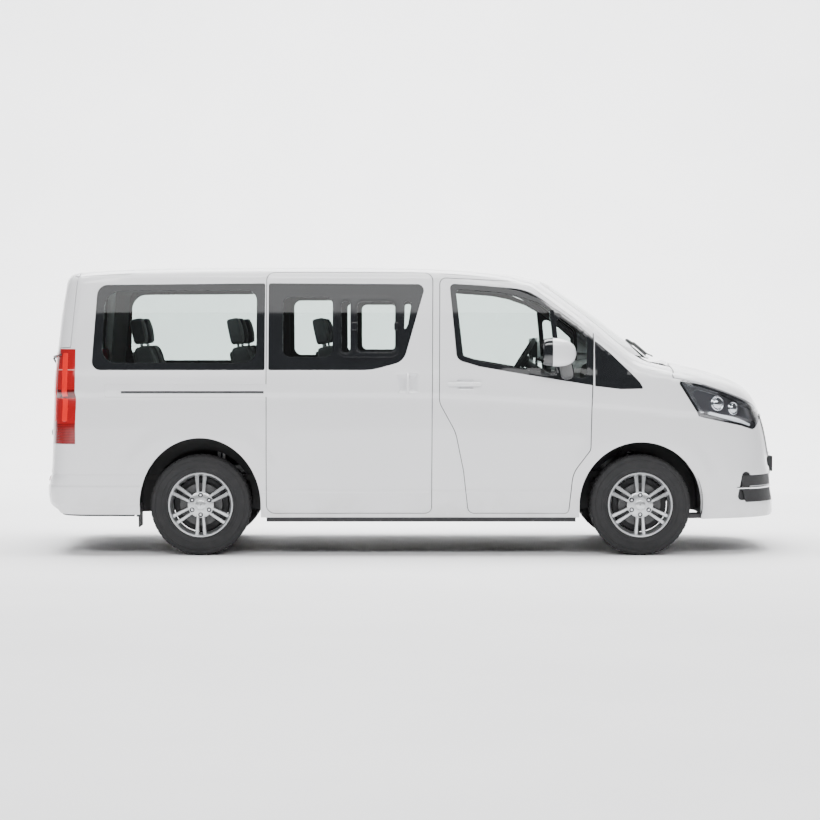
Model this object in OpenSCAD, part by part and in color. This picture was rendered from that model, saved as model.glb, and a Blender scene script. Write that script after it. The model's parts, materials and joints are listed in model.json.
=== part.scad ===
// Semi-bonneted minibus with four seat rows, two sliding side doors and a lift-up tailgate.
// +X is forward, +Y is the vehicle's left, +Z is up. The origin lies on the ground, midway
// along the body and on its centreline. The body is one solid form, walls crossed with a
// roof-and-bonnet surface, and every panel and window is a piece cut out of its skin.

/* [Overall] */
// Front axle to the nose
front_overhang = 1040; // [900:10:1300]
// Front axle to rear axle
wheelbase = 3130; // [2600:10:3800]
// Rear axle to the tail
rear_overhang = 1130; // [1000:10:1400]
// Width over the body sides
body_width = 1970; // [1640:10:2370]
// Height of the roof's crown over the ground
body_height = 2070; // [1900:10:2500]

/* [Levels] */
// Underside of the sills
sill_z = 272; // [240:1:300]
// Bottom edge of the doors
door_bottom_z = 304; // [295:1:330]
// Bottom edge of the side windows
belt_z = 1320; // [1250:5:1400]
// Top face of the cabin floor
floor_z = 560; // [540:5:600]
// Roof crown down to the top of the side windows
window_drop = 134; // [120:1:180]
// Roof crown down to the top of the sliding doors
door_drop = 58; // [50:1:80]

/* [Walls and gaps] */
// Thickness of the doors, sides and roof
wall = 50; // [40:1:60]
// Thickness of the bonnet and bumper mouldings
shell_t = 32; // [20:1:40]
// Thickness of the window glass
glass_t = 6; // [4:0.5:8]
// Gap around each opening panel
panel_gap = 7; // [6:0.5:9]
// Clearance where fixed pieces seat on each other
seam = 0.3; // [0.2:0.1:0.5]

/* [Wheels] */
// Tyre outer diameter
tyre_d = 718; // [600:2:760]
// Tyre section width
tyre_w = 225; // [185:5:245]
// Diameter over the rim flanges
rim_d = 466; // [400:2:500]
// Distance between the tyre centres of one axle
track = 1666; // [1400:2:1700]
// Radius of a hub spindle
spindle_r = 27; // [20:1:32]
// Kingpin inboard of the tyre centre
kingpin_offset = 82; // [70:1:95]
// Radius of a kingpin
kingpin_r = 14; // [10:1:18]
// Wheel-arch radius of the front wing
front_arch_r = 436; // [420:1:470]
// Wheel-arch half-length at the rear
rear_arch_r = 432; // [420:1:470]
// Wheel-arch height over the rear axle
rear_arch_h = 480; // [450:1:500]

/* [Doors] */
// Rear edge of the sliding door, ahead of the rear axle
slide_rear = 474; // [460:1:560]
// Front edge of the sliding door, behind the front axle
slide_front = 1490; // [1460:1:1540]
// Rear edge of the front door, behind the front axle
door_rear = 1427; // [1400:1:1440]
// Front edge of the front door, behind the front axle
door_front = 336; // [325:1:345]
// Front door hinge axis, behind the door's front edge
hinge_back = 60; // [54:1:66]

/* [Mounts] */
// Radius of the hole in each towing eye
eye_hole_r = 14; // [10:1:18]
// Thickness of the towing eyes
eye_t = 16; // [12:1:22]
// Radius of the number-plate screw holes
plate_hole_r = 3.5; // [2.5:0.5:4]
// Distance between the number-plate screw holes
plate_pitch = 210; // [150:5:240]

/* [Hidden] */

white = "gainsboro";
black = "dimgray";
clear = "lightsteelblue";
cloth = "slategray";
steel = "silver";
red = "firebrick";

length = front_overhang + wheelbase + rear_overhang;
nose = length / 2;
tail = -length / 2;
half = body_width / 2;
front_x = nose - front_overhang;
rear_x = tail + rear_overhang;
axle_z = tyre_d / 2;
roof = body_height;
window_z = roof - window_drop;
door_top_z = roof - door_drop;
reach = half + 200;              // past the body on either side
rail_y = half - 225;             // where the roof panel meets the sides
slide_x0 = rear_x + slide_rear;
slide_x1 = front_x - slide_front;
door_x0 = front_x - door_rear;
door_x1 = front_x - door_front;
hinge_x = door_x1 - hinge_back;
hinge_y = half - 33;
door_front_gap = panel_gap + 5;  // the leading edge swings out past the wing's edge
wheel_y = track / 2;
kingpin_y = wheel_y - kingpin_offset;

// ---- Points and outlines -------------------------------------------------------------

function unit(v) = v / norm(v);

// The arc of radius r that rounds corner b of the path a, b, c
function corner(a, b, c, r) =
    let (
        u = unit(a - b),
        v = unit(c - b),
        half_turn = acos(max(-1, min(1, u * v))) / 2,
        centre = b + unit(u + v) * r / sin(half_turn),
        start = b + u * r / tan(half_turn) - centre,
        stop = b + v * r / tan(half_turn) - centre,
        a0 = atan2(start.y, start.x),
        turn = atan2(start.x * stop.y - start.y * stop.x, start * stop),
        steps = max(1, ceil(abs(turn) / 15))
    )
    [for (i = [0:steps]) centre + r * [cos(a0 + turn * i / steps), sin(a0 + turn * i / steps)]];

// A closed outline of [x, y, radius] points, each corner rounded by its radius
function rounded(points) =
    let (n = len(points), flat = [for (p = points) [p[0], p[1]]])
    [for (i = [0:n - 1]) each
        (len(points[i]) > 2 && points[i][2] > 0)
            ? corner(flat[(i + n - 1) % n], flat[i], flat[(i + 1) % n], points[i][2])
            : [flat[i]]];

// Extrusions of a drawing: side view across the body, front view along it, plan upwards
module across(y0, y1) translate([0, y1, 0]) rotate([90, 0, 0]) linear_extrude(height = y1 - y0) children();
module along(x0, x1) translate([x0, 0, 0]) rotate([90, 0, 90]) linear_extrude(height = x1 - x0) children();
module upward(z0, z1) translate([0, 0, z0]) linear_extrude(height = z1 - z0) children();

// A box between two corners
module box(a, b) translate(a) cube(b - a);

// A round bar between two points
module bar(a, b, r) {
    v = b - a;
    translate(a)
        rotate([0, acos(v.z / norm(v)), atan2(v.y, v.x)])
            cylinder(h = norm(v), r = r, $fn = 24);
}

// The left copy of what is drawn for the right (-Y) side
module to_left() mirror([0, 1, 0]) children();
module both_sides() {
    children();
    to_left() children();
}

// Panels are worked out as one facetted solid each
module facetted() resize([0, 0, 0]) children();

// ---- The body form -------------------------------------------------------------------

// The walls, level by level: height, drawn in at the side, at the nose and at the tail
walls = [
    [sill_z - 100, 66, 70, 110],
    [sill_z + 18, 45, 0, 80],
    [sill_z + 80, 34, 4, 15],
    [sill_z + 172, 20, 20, 0],
    [sill_z + 206, 29, 24, 2],
    [sill_z + 320, 18, 32, 25],
    [sill_z + 530, 9, 58, 36],
    [belt_z - 270, 7, 110, 38],
    [belt_z - 205, 8, 140, 42],
    [belt_z - 150, 0, 160, 46],
    [belt_z - 35, 13, 200, 52],
    [belt_z, 23, 215, 55],
    [belt_z + 180, 50, 250, 76],
    [belt_z + 380, 82, 300, 98],
    [window_z - 36, 117, 340, 128],
    [roof - 100, 133, 340, 140],
    [roof - 62, 158, 340, 158],
    [roof - 36, 196, 340, 190],
    [roof - 14, 260, 340, 240],
    [roof + 60, 420, 340, 330]
];
nose_power = 3.6;    // squareness of the plan at the nose
tail_power = 6;      // and at the tail
nose_arc = 360;      // the nose starts to round this far behind the front axle
tail_arc = 550;      // the tail starts to round this far ahead of the tail

function level_ring(row, inset) =
    let (
        w = half - row[1] - inset,
        x_nose = nose - row[2] - inset,
        x_tail = tail + row[3] + inset,
        x_n = front_x - nose_arc,
        x_t = tail + tail_arc,
        side = concat(
            [for (a = [0:12:84])
                [x_t - (x_t - x_tail) * pow(cos(a), 2 / tail_power), w * pow(sin(a), 2 / tail_power)]],
            [[x_t, w]],
            [for (a = [90:-10:0])
                [x_n + (x_nose - x_n) * pow(cos(a), 2 / nose_power), w * pow(sin(a), 2 / nose_power)]]
        )
    )
    concat(
        [for (p = side) [p.x, -p.y, row[0]]],
        [for (i = [len(side) - 2:-1:1]) [side[i].x, side[i].y, row[0]]]
    );

// The crest line along the middle of roof, windscreen and bonnet
crest = [
    [tail - 60, roof - 95], [tail + 100, roof - 62], [tail + 250, roof - 38],
    [tail + 650, roof - 13], [tail + 1150, roof - 3], [front_x - 2300, roof],
    [front_x - 1610, roof - 6], [front_x - 1310, roof - 17], [front_x - 1010, roof - 40],
    [front_x - 860, roof - 60], [front_x - 760, roof - 83], [front_x - 645, roof - 110],
    [front_x - 600, roof - 134], [front_x - 400, roof - 270], [front_x - 219, roof - 398],
    [front_x - 40, belt_z + 213], [front_x + 155, belt_z + 82], [front_x + 230, belt_z + 62],
    [front_x + 380, belt_z + 28], [front_x + 529, belt_z - 10], [nose - 361, belt_z - 59],
    [nose - 249, belt_z - 111], [nose - 175, belt_z - 160], [nose - 137, belt_z - 194],
    [nose - 90, belt_z - 270], [nose + 80, belt_z - 560]
];
bow = 0.00019;       // how far windscreen and bonnet fall back towards the sides, per mm squared
crown = 0.0000375;   // how far the roof falls towards the sides, per mm squared
across_steps = 8;

function bow_at(x) = x > nose ? 0 : bow * max(0, min(1, (x - front_x + 1610) / 900));
function crest_ring(p, inset) = concat(
    [[p[0], -half - 20, -200], [p[0], half + 20, -200]],
    [for (i = [across_steps:-1:-across_steps])
        let (y = (half + 20) * i / across_steps)
        [p[0] - bow_at(p[0]) * y * y, y, p[1] - inset - crown * y * y]]
);

// A solid through a stack of closed rings of points
module loft(rings) {
    n = len(rings[0]);
    top = len(rings) - 1;
    sides = [for (k = [0:top - 1]) for (i = [0:n - 1])
        let (j = (i + 1) % n)
        each [
            [k * n + i, (k + 1) * n + i, (k + 1) * n + j],
            [k * n + i, (k + 1) * n + j, k * n + j]
        ]];
    bottom_cap = [for (i = [0:n - 1]) i];
    top_cap = [for (i = [n - 1:-1:0]) top * n + i];
    polyhedron(points = [for (r = rings) each r], faces = concat([bottom_cap], sides, [top_cap]));
}

// The whole body, drawn in by an inset
module form(inset = 0) {
    intersection() {
        loft([for (row = walls) level_ring(row, inset)]);
        loft([for (p = crest) crest_ring(p, inset)]);
    }
}

// The skin between two depths under the body's face
module shell(from, to) {
    difference() {
        form(from);
        form(to);
    }
}

// ---- Outlines seen from the side -----------------------------------------------------

slide_outline = rounded([
    [slide_x0, door_bottom_z, 60],
    [slide_x1, door_bottom_z, 45],
    [slide_x1 + 10, door_top_z - 8, 45],
    [slide_x0, door_top_z, 45]
]);

door_outline = rounded([
    [door_x0 + 4, roof - 97, 40],
    [door_x0, belt_z - 230, 120],
    [door_x0 + 115, belt_z - 440, 260],
    [door_x0 + 172, 600, 300],
    [door_x0 + 205, door_bottom_z, 45],
    [door_x1 - 180, door_bottom_z, 28],
    [door_x1 - 146, 590, 200],
    [door_x1 - 20, 755, 60],
    [door_x1 + 6, belt_z + 300, 66],
    [front_x - 780, roof - 128, 500]
]);

quarter_window = rounded([
    [tail + 360, belt_z, 60],
    [slide_x0 - panel_gap - 8, belt_z, 12],
    [slide_x0 - panel_gap - 8, window_z, 12],
    [tail + 398, window_z - 12, 75]
]);

slide_window = rounded([
    [slide_x0 + 12, belt_z, 12],
    [slide_x1 - 420, belt_z, 400],
    [slide_x1 - 195, belt_z + 62, 110],
    [slide_x1 - 38, window_z - 6, 45],
    [slide_x0 + 12, window_z, 12]
]);

door_window = rounded([
    [door_x0 + 72, window_z - 4, 30],
    [door_x0 + 122, belt_z + 68, 60],
    [door_x1 - 22, belt_z - 100, 20],
    [door_x1 - 22, belt_z + 235, 20],
    [front_x - 790, window_z - 42, 400]
]);

// Plan of the windscreen
windscreen_plan = rounded([
    [front_x - 655, 0], [front_x - 700, -half + 350, 50], [front_x - 400, -half + 290, 600],
    [front_x - 60, -half + 185, 70], [front_x + 104, -440, 400], [front_x + 150, 0],
    [front_x + 104, 440, 400], [front_x - 60, half - 185, 70],
    [front_x - 400, half - 290, 600], [front_x - 700, half - 350, 50]
]);

// The line under the bonnet, and its rear edge
bonnet_line = [
    [front_x + 254, belt_z - 62], [nose - 620, belt_z - 94], [nose - 440, belt_z - 152],
    [nose - 258, belt_z - 220], [nose - 170, belt_z - 270], [nose + 100, belt_z - 290]
];
module bonnet_region(grow = 0) offset(delta = grow) polygon(concat(
    [[front_x + 200, roof], [front_x + 200, belt_z - 58]], bonnet_line, [[nose + 100, roof]]
));
bonnet_rear_x = front_x + 240;
bonnet_rear_gap = 14;
module bonnet_cut(grow = 0) intersection() {
    across(-reach, reach) bonnet_region(grow);
    box([bonnet_rear_x - 2 * grow, -reach, 0], [nose + 200, reach, roof + 200]);
}

// The wing reaches from the front door to the bumper
bumper_edge = [
    [front_x + 343, 660], [front_x + 398, 688], [front_x + 434, 720], [front_x + 446, 800],
    [front_x + 440, 896], [nose - 623, 988]
];
lamp_line = [
    [nose - 618, 990], [nose - 786, belt_z - 65], [nose - 620, belt_z - 101],
    [nose - 440, belt_z - 159], [nose - 258, belt_z - 227], [nose - 170, belt_z - 278], [nose - 85, belt_z - 292],
    [nose - 80, 950], [nose - 195, 872], [nose - 301, 921]
];
pillar_foot_x = front_x - 175;
module wing_region(grow = 0) offset(delta = grow) polygon([
    [door_x1 - 170, -100], [nose + 100, -100], [nose + 100, roof], [pillar_foot_x, roof],
    [pillar_foot_x, belt_z + 110], [door_x1 - 60, belt_z + 110], [door_x1 - 170, 700]
]);
module bumper_region(grow = 0) offset(delta = grow) polygon(concat(
    [[front_x + 200, -100], [front_x + 200, 600]], bumper_edge,
    [[nose - 618, 990], [nose - 600, belt_z - 65], [nose + 100, belt_z - 65], [nose + 100, -100]]
));
lamp_y = half - 430;
module lamp_cut(grow = 0) {
    both_sides() across(-reach, -lamp_y + grow) offset(delta = grow) polygon(lamp_line);
}

// The arch over a wheel, with its sides running straight down
module arch(x, r, h) {
    translate([x, axle_z]) scale([1, h / r]) circle(r = r, $fn = 64);
    translate([x - r, -200]) square([2 * r, axle_z + 200]);
}
module front_arch(grow = 0) arch(front_x, front_arch_r + grow, front_arch_r + 14 + grow);
module rear_arch(grow = 0) arch(rear_x, rear_arch_r + grow, rear_arch_h + grow);

// The tailgate: full width above the lamps, between them lower down
tail_lamp_top = belt_z + 150;
tail_lamp_bottom = 793;
tail_lamp_x = tail + 246;
tail_lamp_y = half - 155;
rear_bumper_z = 577;
module tailgate_cut(grow = 0) {
    across(-reach, reach) offset(delta = grow) polygon([
        [tail - 100, tail_lamp_top + 12], [tail + 204, tail_lamp_top + 12],
        [tail + 246, roof - 105], [tail + 266, roof + 100], [tail - 100, roof + 100]
    ]);
    box(
        [tail - 100, -tail_lamp_y + panel_gap - grow, rear_bumper_z + panel_gap - grow],
        [tail + 190, tail_lamp_y - panel_gap + grow, tail_lamp_top + 20]
    );
}
module tail_lamp_cut(grow = 0) both_sides() box(
    [tail - 100, -reach, tail_lamp_bottom - grow],
    [tail_lamp_x + grow, -tail_lamp_y, tail_lamp_top + grow]
);

// ---- Fixed body panels ---------------------------------------------------------------

module side_panel() facetted() {
    difference() {
        intersection() {
            shell(0, wall);
            box([tail - 100, -reach, sill_z], [nose + 100, -rail_y - seam, roof + 100]);
        }
        across(-reach, 0) offset(delta = panel_gap) polygon(slide_outline);
        across(-reach, 0) offset(delta = panel_gap) polygon(door_outline);
        across(-reach, 0) offset(delta = seam) polygon(quarter_window);
        across(-reach, 0) rear_arch();
        across(-reach, 0) wing_region(seam);
        box([tail - 100, -reach, 0], [rear_x, 0, rear_bumper_z]);
        upward(0, roof) offset(delta = seam) polygon(windscreen_plan);
        tailgate_cut(panel_gap);
        tail_lamp_cut(seam);
    }
    // sill flange on which the floor is welded
    box(
        [rear_x + rear_arch_r + 30, -half + 50, sill_z],
        [door_x1 - 190, -half + 132, door_bottom_z - panel_gap - 6]
    );
    // catches of the shut sliding door
    for (z = [700, 1120]) {
        box([slide_x0 - 3 * panel_gap, -half + 20, z], [slide_x0 - seam, -half + 45, z + 60]);
        box([slide_x1 + seam + 8, -half + 20, z], [slide_x1 + 3 * panel_gap, -half + 45, z + 60]);
    }
}

module wing() {
    wing_skin();
    hinge_arms();
}
module wing_skin() facetted() difference() {
    intersection() {
        shell(0, shell_t);
        across(-reach, -200) wing_region();
        box([door_x1 - 300, -reach, sill_z], [nose - 200, -200, belt_z + 300]);
    }
    across(-reach, 0) offset(delta = door_front_gap) polygon(door_outline);
    across(-reach, 0) front_arch();
    across(-reach, 0) bumper_region(seam);
    bonnet_cut(panel_gap);
    lamp_cut(seam);
    upward(0, roof) offset(delta = seam) polygon(windscreen_plan);
    cowl_cut(seam);
    // room for the door's front edge as it swings in
    translate([hinge_x, -hinge_y, door_bottom_z - 4]) cylinder(h = belt_z, r = hinge_back + door_swing_room, $fn = 60);
}
door_swing_room = 16;

// Between windscreen and bonnet
cowl_y = half - 235;
module cowl_cut(grow = 0) box(
    [front_x - 120, -cowl_y - grow, belt_z - 120],
    [bonnet_rear_x - bonnet_rear_gap, cowl_y + grow, roof - 200]
);

module roof_panel() color(white) {
    roof_skin();
    gate_hinge_arms();
}
module roof_skin() facetted() difference() {
    intersection() {
        shell(0, wall);
        box([tail - 100, -rail_y, belt_z + 200], [front_x + 100, rail_y, roof + 100]);
    }
    upward(0, roof + 100) offset(delta = seam) polygon(windscreen_plan);
    box([front_x - 640, -rail_y - 50, 0], [front_x + 200, -half + 240, roof + 100]);
    box([front_x - 640, half - 240, 0], [front_x + 200, rail_y + 50, roof + 100]);
    tailgate_cut(panel_gap);
}
module side_panel_right() color(white) side_panel();
module side_panel_left() color(white) to_left() side_panel();
module wing_right() color(white) wing();
module wing_left() color(white) to_left() wing();

module cowl() color(black) facetted() difference() {
    intersection() {
        shell(40, 52);
        cowl_cut();
    }
    upward(belt_z + 20, roof + 100) offset(delta = -60) polygon(windscreen_plan);
    box([front_x - 200, -reach, 0], [front_x + shelf + seam, reach, belt_z - 20 + seam]);
    for (y = [-bonnet_hinge_y, bonnet_hinge_y])
        box([bonnet_hinge_x - 30, y - 42, belt_z - 200], [nose, y + 42, roof]);
}

grille_y = 560;
grille_z0 = 690;
grille_z1 = 1000;
module grille_outline(grow = 0) offset(delta = grow) polygon(rounded([
    [-grille_y + 60, grille_z0, 40], [grille_y - 60, grille_z0, 40],
    [grille_y, grille_z1, 40], [-grille_y, grille_z1, 40]
]));

module front_bumper() color(white) difference() {
    union() {
        bumper_front_skin();
        box([nose - 62, -260, 570], [nose - 4, 260, 670]);
    }
    plate_holes(nose - 100, 620);
}
module bumper_front_skin() facetted() {
    difference() {
        intersection() {
            shell(0, shell_t);
            across(-reach, reach) bumper_region();
            box([front_x + 200, -reach, sill_z - 14], [nose + 100, reach, belt_z]);
        }
        both_sides() across(-reach, 0) front_arch();
        bonnet_cut(panel_gap);
        lamp_cut(seam);
        along(nose - 300, nose + 100) grille_outline(seam);
        // lower air intake
        box([nose - 300, -430, 380], [nose + 100, 430, 560]);
    }
    // brackets to the front crossmember
    both_sides() box([nose - 210, -420, 410], [nose - 30, -380, 470]);
}
module plate_holes(x, z) for (y = [-plate_pitch / 2, plate_pitch / 2])
    translate([x, y, z]) rotate([0, 90, 0]) cylinder(h = 160, r = plate_hole_r, $fn = 32);

module grille() color(black) facetted() intersection() {
    along(nose - 400, nose + 100) grille_outline();
    difference() {
        form(6);
        form(36);
        for (z = [grille_z0 + 40:54:grille_z1 - 60])
            box([nose - 400, -grille_y + 90, z], [nose + 100, grille_y - 90, z + 24]);
    }
}

module rear_bumper() color(white) facetted() {
    difference() {
        intersection() {
            shell(0, shell_t);
            box([tail - 100, -reach, sill_z + 18], [rear_x, reach, rear_bumper_z - seam]);
        }
        both_sides() across(-reach, 0) rear_arch(0);
        box([tail + 300, -200, 0], [rear_x, 200, 400]);
    }
    both_sides() box([tail + 20, -470, 410], [tail + 190, -410, 470]);
}

module headlamps() color(clear) facetted() intersection() {
    shell(0, 60);
    lamp_cut();
}

module tail_lamps() color(red) facetted() intersection() {
    shell(0, 60);
    tail_lamp_cut();
}

module windscreen() color(clear) facetted() intersection() {
    shell(3, 3 + glass_t);
    upward(belt_z, roof) polygon(windscreen_plan);
}

module quarter_glass() color(clear) both_sides() facetted() intersection() {
    shell(3, 3 + glass_t);
    across(-reach, -200) polygon(quarter_window);
}

module side_door(outline, window) facetted() difference() {
    intersection() {
        shell(0, wall);
        across(-reach, -rail_y - panel_gap) polygon(outline);
    }
    across(-reach, 0) offset(delta = seam) polygon(window);
}
module door_pane(window) facetted() intersection() {
    shell(3, 3 + glass_t);
    across(-reach, -200) polygon(window);
}

module sliding_door_right() color(white) side_door(slide_outline, slide_window);
module sliding_door_left() color(white) to_left() side_door(slide_outline, slide_window);
module sliding_door_glass() color(clear) both_sides() door_pane(slide_window);

// ---- Front doors ---------------------------------------------------------------------

hinge_levels = [belt_z - 450, belt_z - 190];
pin_r = 7;
pin_slack = 0.3;
module hinge_space() for (z = hinge_levels)
    box([hinge_x - 22, -hinge_y - 14, z - 42], [hinge_x + 150, -hinge_y + 90, z + 42]);

// The body's half of a hinge: an arm from the wing with an upright pin
module hinge_arms() for (z = hinge_levels) {
    translate([hinge_x, -hinge_y, z - 34]) cylinder(h = 68, r = pin_r, $fn = 32);
    for (dz = [-34, 22]) {
        translate([hinge_x, -hinge_y, z + dz]) cylinder(h = 12, r = 12, $fn = 32);
        box([hinge_x - 12, -hinge_y, z + dz], [hinge_x + 12, -hinge_y + 90, z + dz + 12]);
        box([hinge_x - 12, -hinge_y + 78, z + dz], [hinge_x + 96, -hinge_y + 90, z + dz + 12]);
    }
    box([hinge_x + 84, -half + shell_t - 8, z - 34], [hinge_x + 96, -hinge_y + 90, z + 34]);
}

module front_door() color(white) {
    difference() {
        side_door(door_outline, door_window);
        hinge_space();
    }
    // hinge knuckles and their leaves
    for (z = hinge_levels) difference() {
        union() {
            translate([hinge_x, -hinge_y, z - 20]) cylinder(h = 40, r = 13, $fn = 32);
            box([hinge_x - 40, -hinge_y - 8, z - 20], [hinge_x, -hinge_y + 8, z + 20]);
        }
        translate([hinge_x, -hinge_y, z - 30]) cylinder(h = 60, r = pin_r + pin_slack, $fn = 32);
    }
}
module front_door_right() front_door();
module front_door_left() to_left() front_door();
module front_door_glass_right() color(clear) door_pane(door_window);
module front_door_glass_left() to_left() front_door_glass_right();

module door_mirror() color(white) {
    x = front_x - 540;
    z = belt_z + 128;
    difference() {
        hull() {
            translate([x, -half - 70, z]) scale([0.75, 1, 1.5]) sphere(r = 64, $fn = 24);
            translate([x - 30, -half - 128, z]) scale([0.6, 1, 1.4]) sphere(r = 64, $fn = 24);
            box([x - 158, -half - 190, z - 95], [x - 150, -half - 12, z + 95]);
        }
        box([x - 168, -half - 180, z - 85], [x - 145, -half - 22, z + 85]);
    }
    // foot on the door's skin
    facetted() difference() {
        hull() {
            translate([x, -half - 40, z - 50]) sphere(r = 26, $fn = 16);
            translate([x + 30, -half + 45, belt_z - 104]) sphere(r = 44, $fn = 16);
        }
        form(-seam);
    }
}
module mirror_right() door_mirror();
module mirror_left() to_left() door_mirror();

// ---- Tailgate ------------------------------------------------------------------------

gate_hinge_x = tail + 258;
gate_hinge_z = roof - 34;
gate_hinge_y = 450;
gate_pin_r = 5;

tailgate_window = rounded([
    [-700, belt_z - 20, 70], [700, belt_z - 20, 70], [650, window_z - 60, 90], [-650, window_z - 60, 90]
]);

gate_plate_z = 730;
module tailgate() color(white) {
    difference() {
        union() {
            gate_skin();
            box([tail + 22, -260, gate_plate_z - 55], [tail + 86, 260, gate_plate_z + 55]);
        }
        plate_holes(tail - 10, gate_plate_z);
    }
    gate_knuckles();
}
module gate_skin() facetted() difference() {
    intersection() {
        shell(0, wall);
        tailgate_cut();
        box([tail - 100, -reach, rear_bumper_z + panel_gap], [front_x, reach, roof + 100]);
    }
    tail_lamp_cut(panel_gap + 1);
    along(tail - 100, tail + 400) offset(delta = seam) polygon(tailgate_window);
}
module gate_knuckles() for (y = [-gate_hinge_y, gate_hinge_y]) difference() {
    union() {
        cross_pin(gate_hinge_x, y, gate_hinge_z, 36, 9);
        box([gate_hinge_x - 60, y - 18, gate_hinge_z - 24], [gate_hinge_x - 4, y + 18, gate_hinge_z - 2]);
    }
    cross_pin(gate_hinge_x, y, gate_hinge_z, 60, gate_pin_r + pin_slack);
}

// A bar across the vehicle, centred
module cross_pin(x, y, z, h, r) translate([x, y + h / 2, z]) rotate([90, 0, 0]) cylinder(h = h, r = r, $fn = 32);
module tailgate_glass() color(clear) facetted() intersection() {
    shell(3, 3 + glass_t);
    along(tail - 100, tail + 400) polygon(tailgate_window);
}
module gate_hinge_arms() for (y = [-gate_hinge_y, gate_hinge_y]) {
    cross_pin(gate_hinge_x, y, gate_hinge_z, 68, gate_pin_r);
    for (dy = [-34, 24])
        box(
            [gate_hinge_x - 8, y + dy, gate_hinge_z - 8],
            [gate_hinge_x + 50, y + dy + 10, gate_hinge_z + 8]
        );
    box([gate_hinge_x + 26, y - 34, gate_hinge_z - 30], [gate_hinge_x + 50, y + 34, gate_hinge_z + 8]);
}

// ---- Bonnet --------------------------------------------------------------------------

bonnet_hinge_x = front_x + 160;
bonnet_hinge_z = belt_z + 6;
bonnet_hinge_y = 480;
module bonnet() color(white) {
    facetted() intersection() {
        shell(0, shell_t);
        bonnet_cut();
    }
    for (y = [-bonnet_hinge_y, bonnet_hinge_y]) difference() {
        union() {
            cross_pin(bonnet_hinge_x, y, bonnet_hinge_z, 30, 13);
            box([bonnet_hinge_x, y - 15, bonnet_hinge_z - 8], [bonnet_rear_x + 40, y + 15, bonnet_hinge_z + 8]);
        }
        cross_pin(bonnet_hinge_x, y, bonnet_hinge_z, 60, pin_r + pin_slack);
    }
}
module bonnet_hinge_arms() for (y = [-bonnet_hinge_y, bonnet_hinge_y]) {
    cross_pin(bonnet_hinge_x, y, bonnet_hinge_z, 64, pin_r);
    for (dy = [-32, 20])
        box(
            [bonnet_hinge_x - 13, y + dy, belt_z - 21],
            [bonnet_hinge_x + 13, y + dy + 12, bonnet_hinge_z + 13]
        );
}

// ---- Floor and running gear ----------------------------------------------------------

floor_y = half - 95;
sheet = 36;
rail_half = 460;
shelf = 190;             // the shelf under the windscreen ends this far ahead of the axle
bulkhead_x = front_x - 420;
module floor_pan() color(steel) {
    facetted() {
        difference() {
            union() {
                across(-floor_y, floor_y) polygon([
                    [tail + 100, floor_z - sheet], [tail + 100, floor_z],
                    [bulkhead_x, floor_z], [bulkhead_x, floor_z - sheet]
                ]);
                // wheel houses
                both_sides() across(-floor_y + 5, -kingpin_y + 75) rear_arch(28);
            }
            both_sides() across(-reach, -kingpin_y + 83) rear_arch(12);
            both_sides() box([tail, -reach, floor_z - 100], [tail + 165, -half + 245, floor_z + 10]);
            // nothing of the wheel houses under the sills
            box([tail - 100, -reach, -300], [nose, reach, sill_z]);
        }
        both_sides() {
            // sill beams
            box(
                [rear_x + rear_arch_r + 25, -half + 132 + seam, sill_z],
                [front_x - front_arch_r - 35, -half + 190, floor_z - sheet + 1]
            );
            // frame rails
            box([tail + 190 + seam, -rail_half, 390], [nose - 210 - seam, -rail_half + 70, 500]);
            for (x = [rear_x + 620, front_x - 520])
                box([x, -half + 190 - 1, 410], [x + 90, -rail_half + 1, 490]);
            box([rear_x - 800, -rail_half, 480], [front_x - 460, -rail_half + 70, floor_z - sheet + 1]);
        }
        // end crossmembers, and two that bridge the propeller shaft
        for (x = [tail + 190 + seam, nose - 300])
            box([x, -rail_half + 60, 400], [x + 80, rail_half - 60, 470]);
        for (x = [rear_x + 520, front_x - 820])
            box([x, -rail_half + 60, 445], [x + 80, rail_half - 60, 500]);
    }
    // towing eyes, flat on the end crossmembers, for an upright pin
    for (x = [nose - eye_in, tail + eye_in]) difference() {
        box(
            [x - (x > 0 ? 80 : 40), eye_y - 40, 400 - eye_t],
            [x + (x > 0 ? 40 : 90), eye_y + 40, 400]
        );
        translate([x, eye_y, 400 - 2 * eye_t]) cylinder(h = 3 * eye_t, r = eye_hole_r, $fn = 40);
    }
}
eye_in = 160;
eye_y = -260;

// The wall between engine and cabin, with the front wheel houses and the shelf under the windscreen
module bulkhead() color(steel) {
    facetted() {
        // between the wheel houses
        across(-kingpin_y + 206, kingpin_y - 206) polygon([
            [bulkhead_x + seam, floor_z - sheet], [bulkhead_x + seam, floor_z],
            [front_x - 180, floor_z + 40], [front_x - 60, floor_z + 260], [front_x - 35, belt_z - 100],
            [front_x - 5, belt_z - 100], [front_x - 30, floor_z + 250],
            [front_x - 160, floor_z - sheet + 30], [bulkhead_x + 10, floor_z - sheet]
        ]);
        // over them, with the shelf
        across(-floor_y + 30, floor_y - 30) polygon([
            [front_x - 60, axle_z + front_arch_r + 25], [front_x - 30, belt_z - 20],
            [front_x + shelf, belt_z - 20], [front_x + shelf, belt_z - 20 - sheet],
            [front_x, belt_z - 20 - sheet], [front_x - 28, axle_z + front_arch_r + 28]
        ]);
        both_sides() difference() {
            across(-floor_y + 35, -kingpin_y + 220) front_arch(28);
            across(-reach, -200) front_arch(12);
            box([0, -reach, -300], [nose, 0, sill_z]);
            box([0, -reach, 0], [bulkhead_x + 4, 0, floor_z + 50]);
        }
    }
    bonnet_hinge_arms();
}

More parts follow.
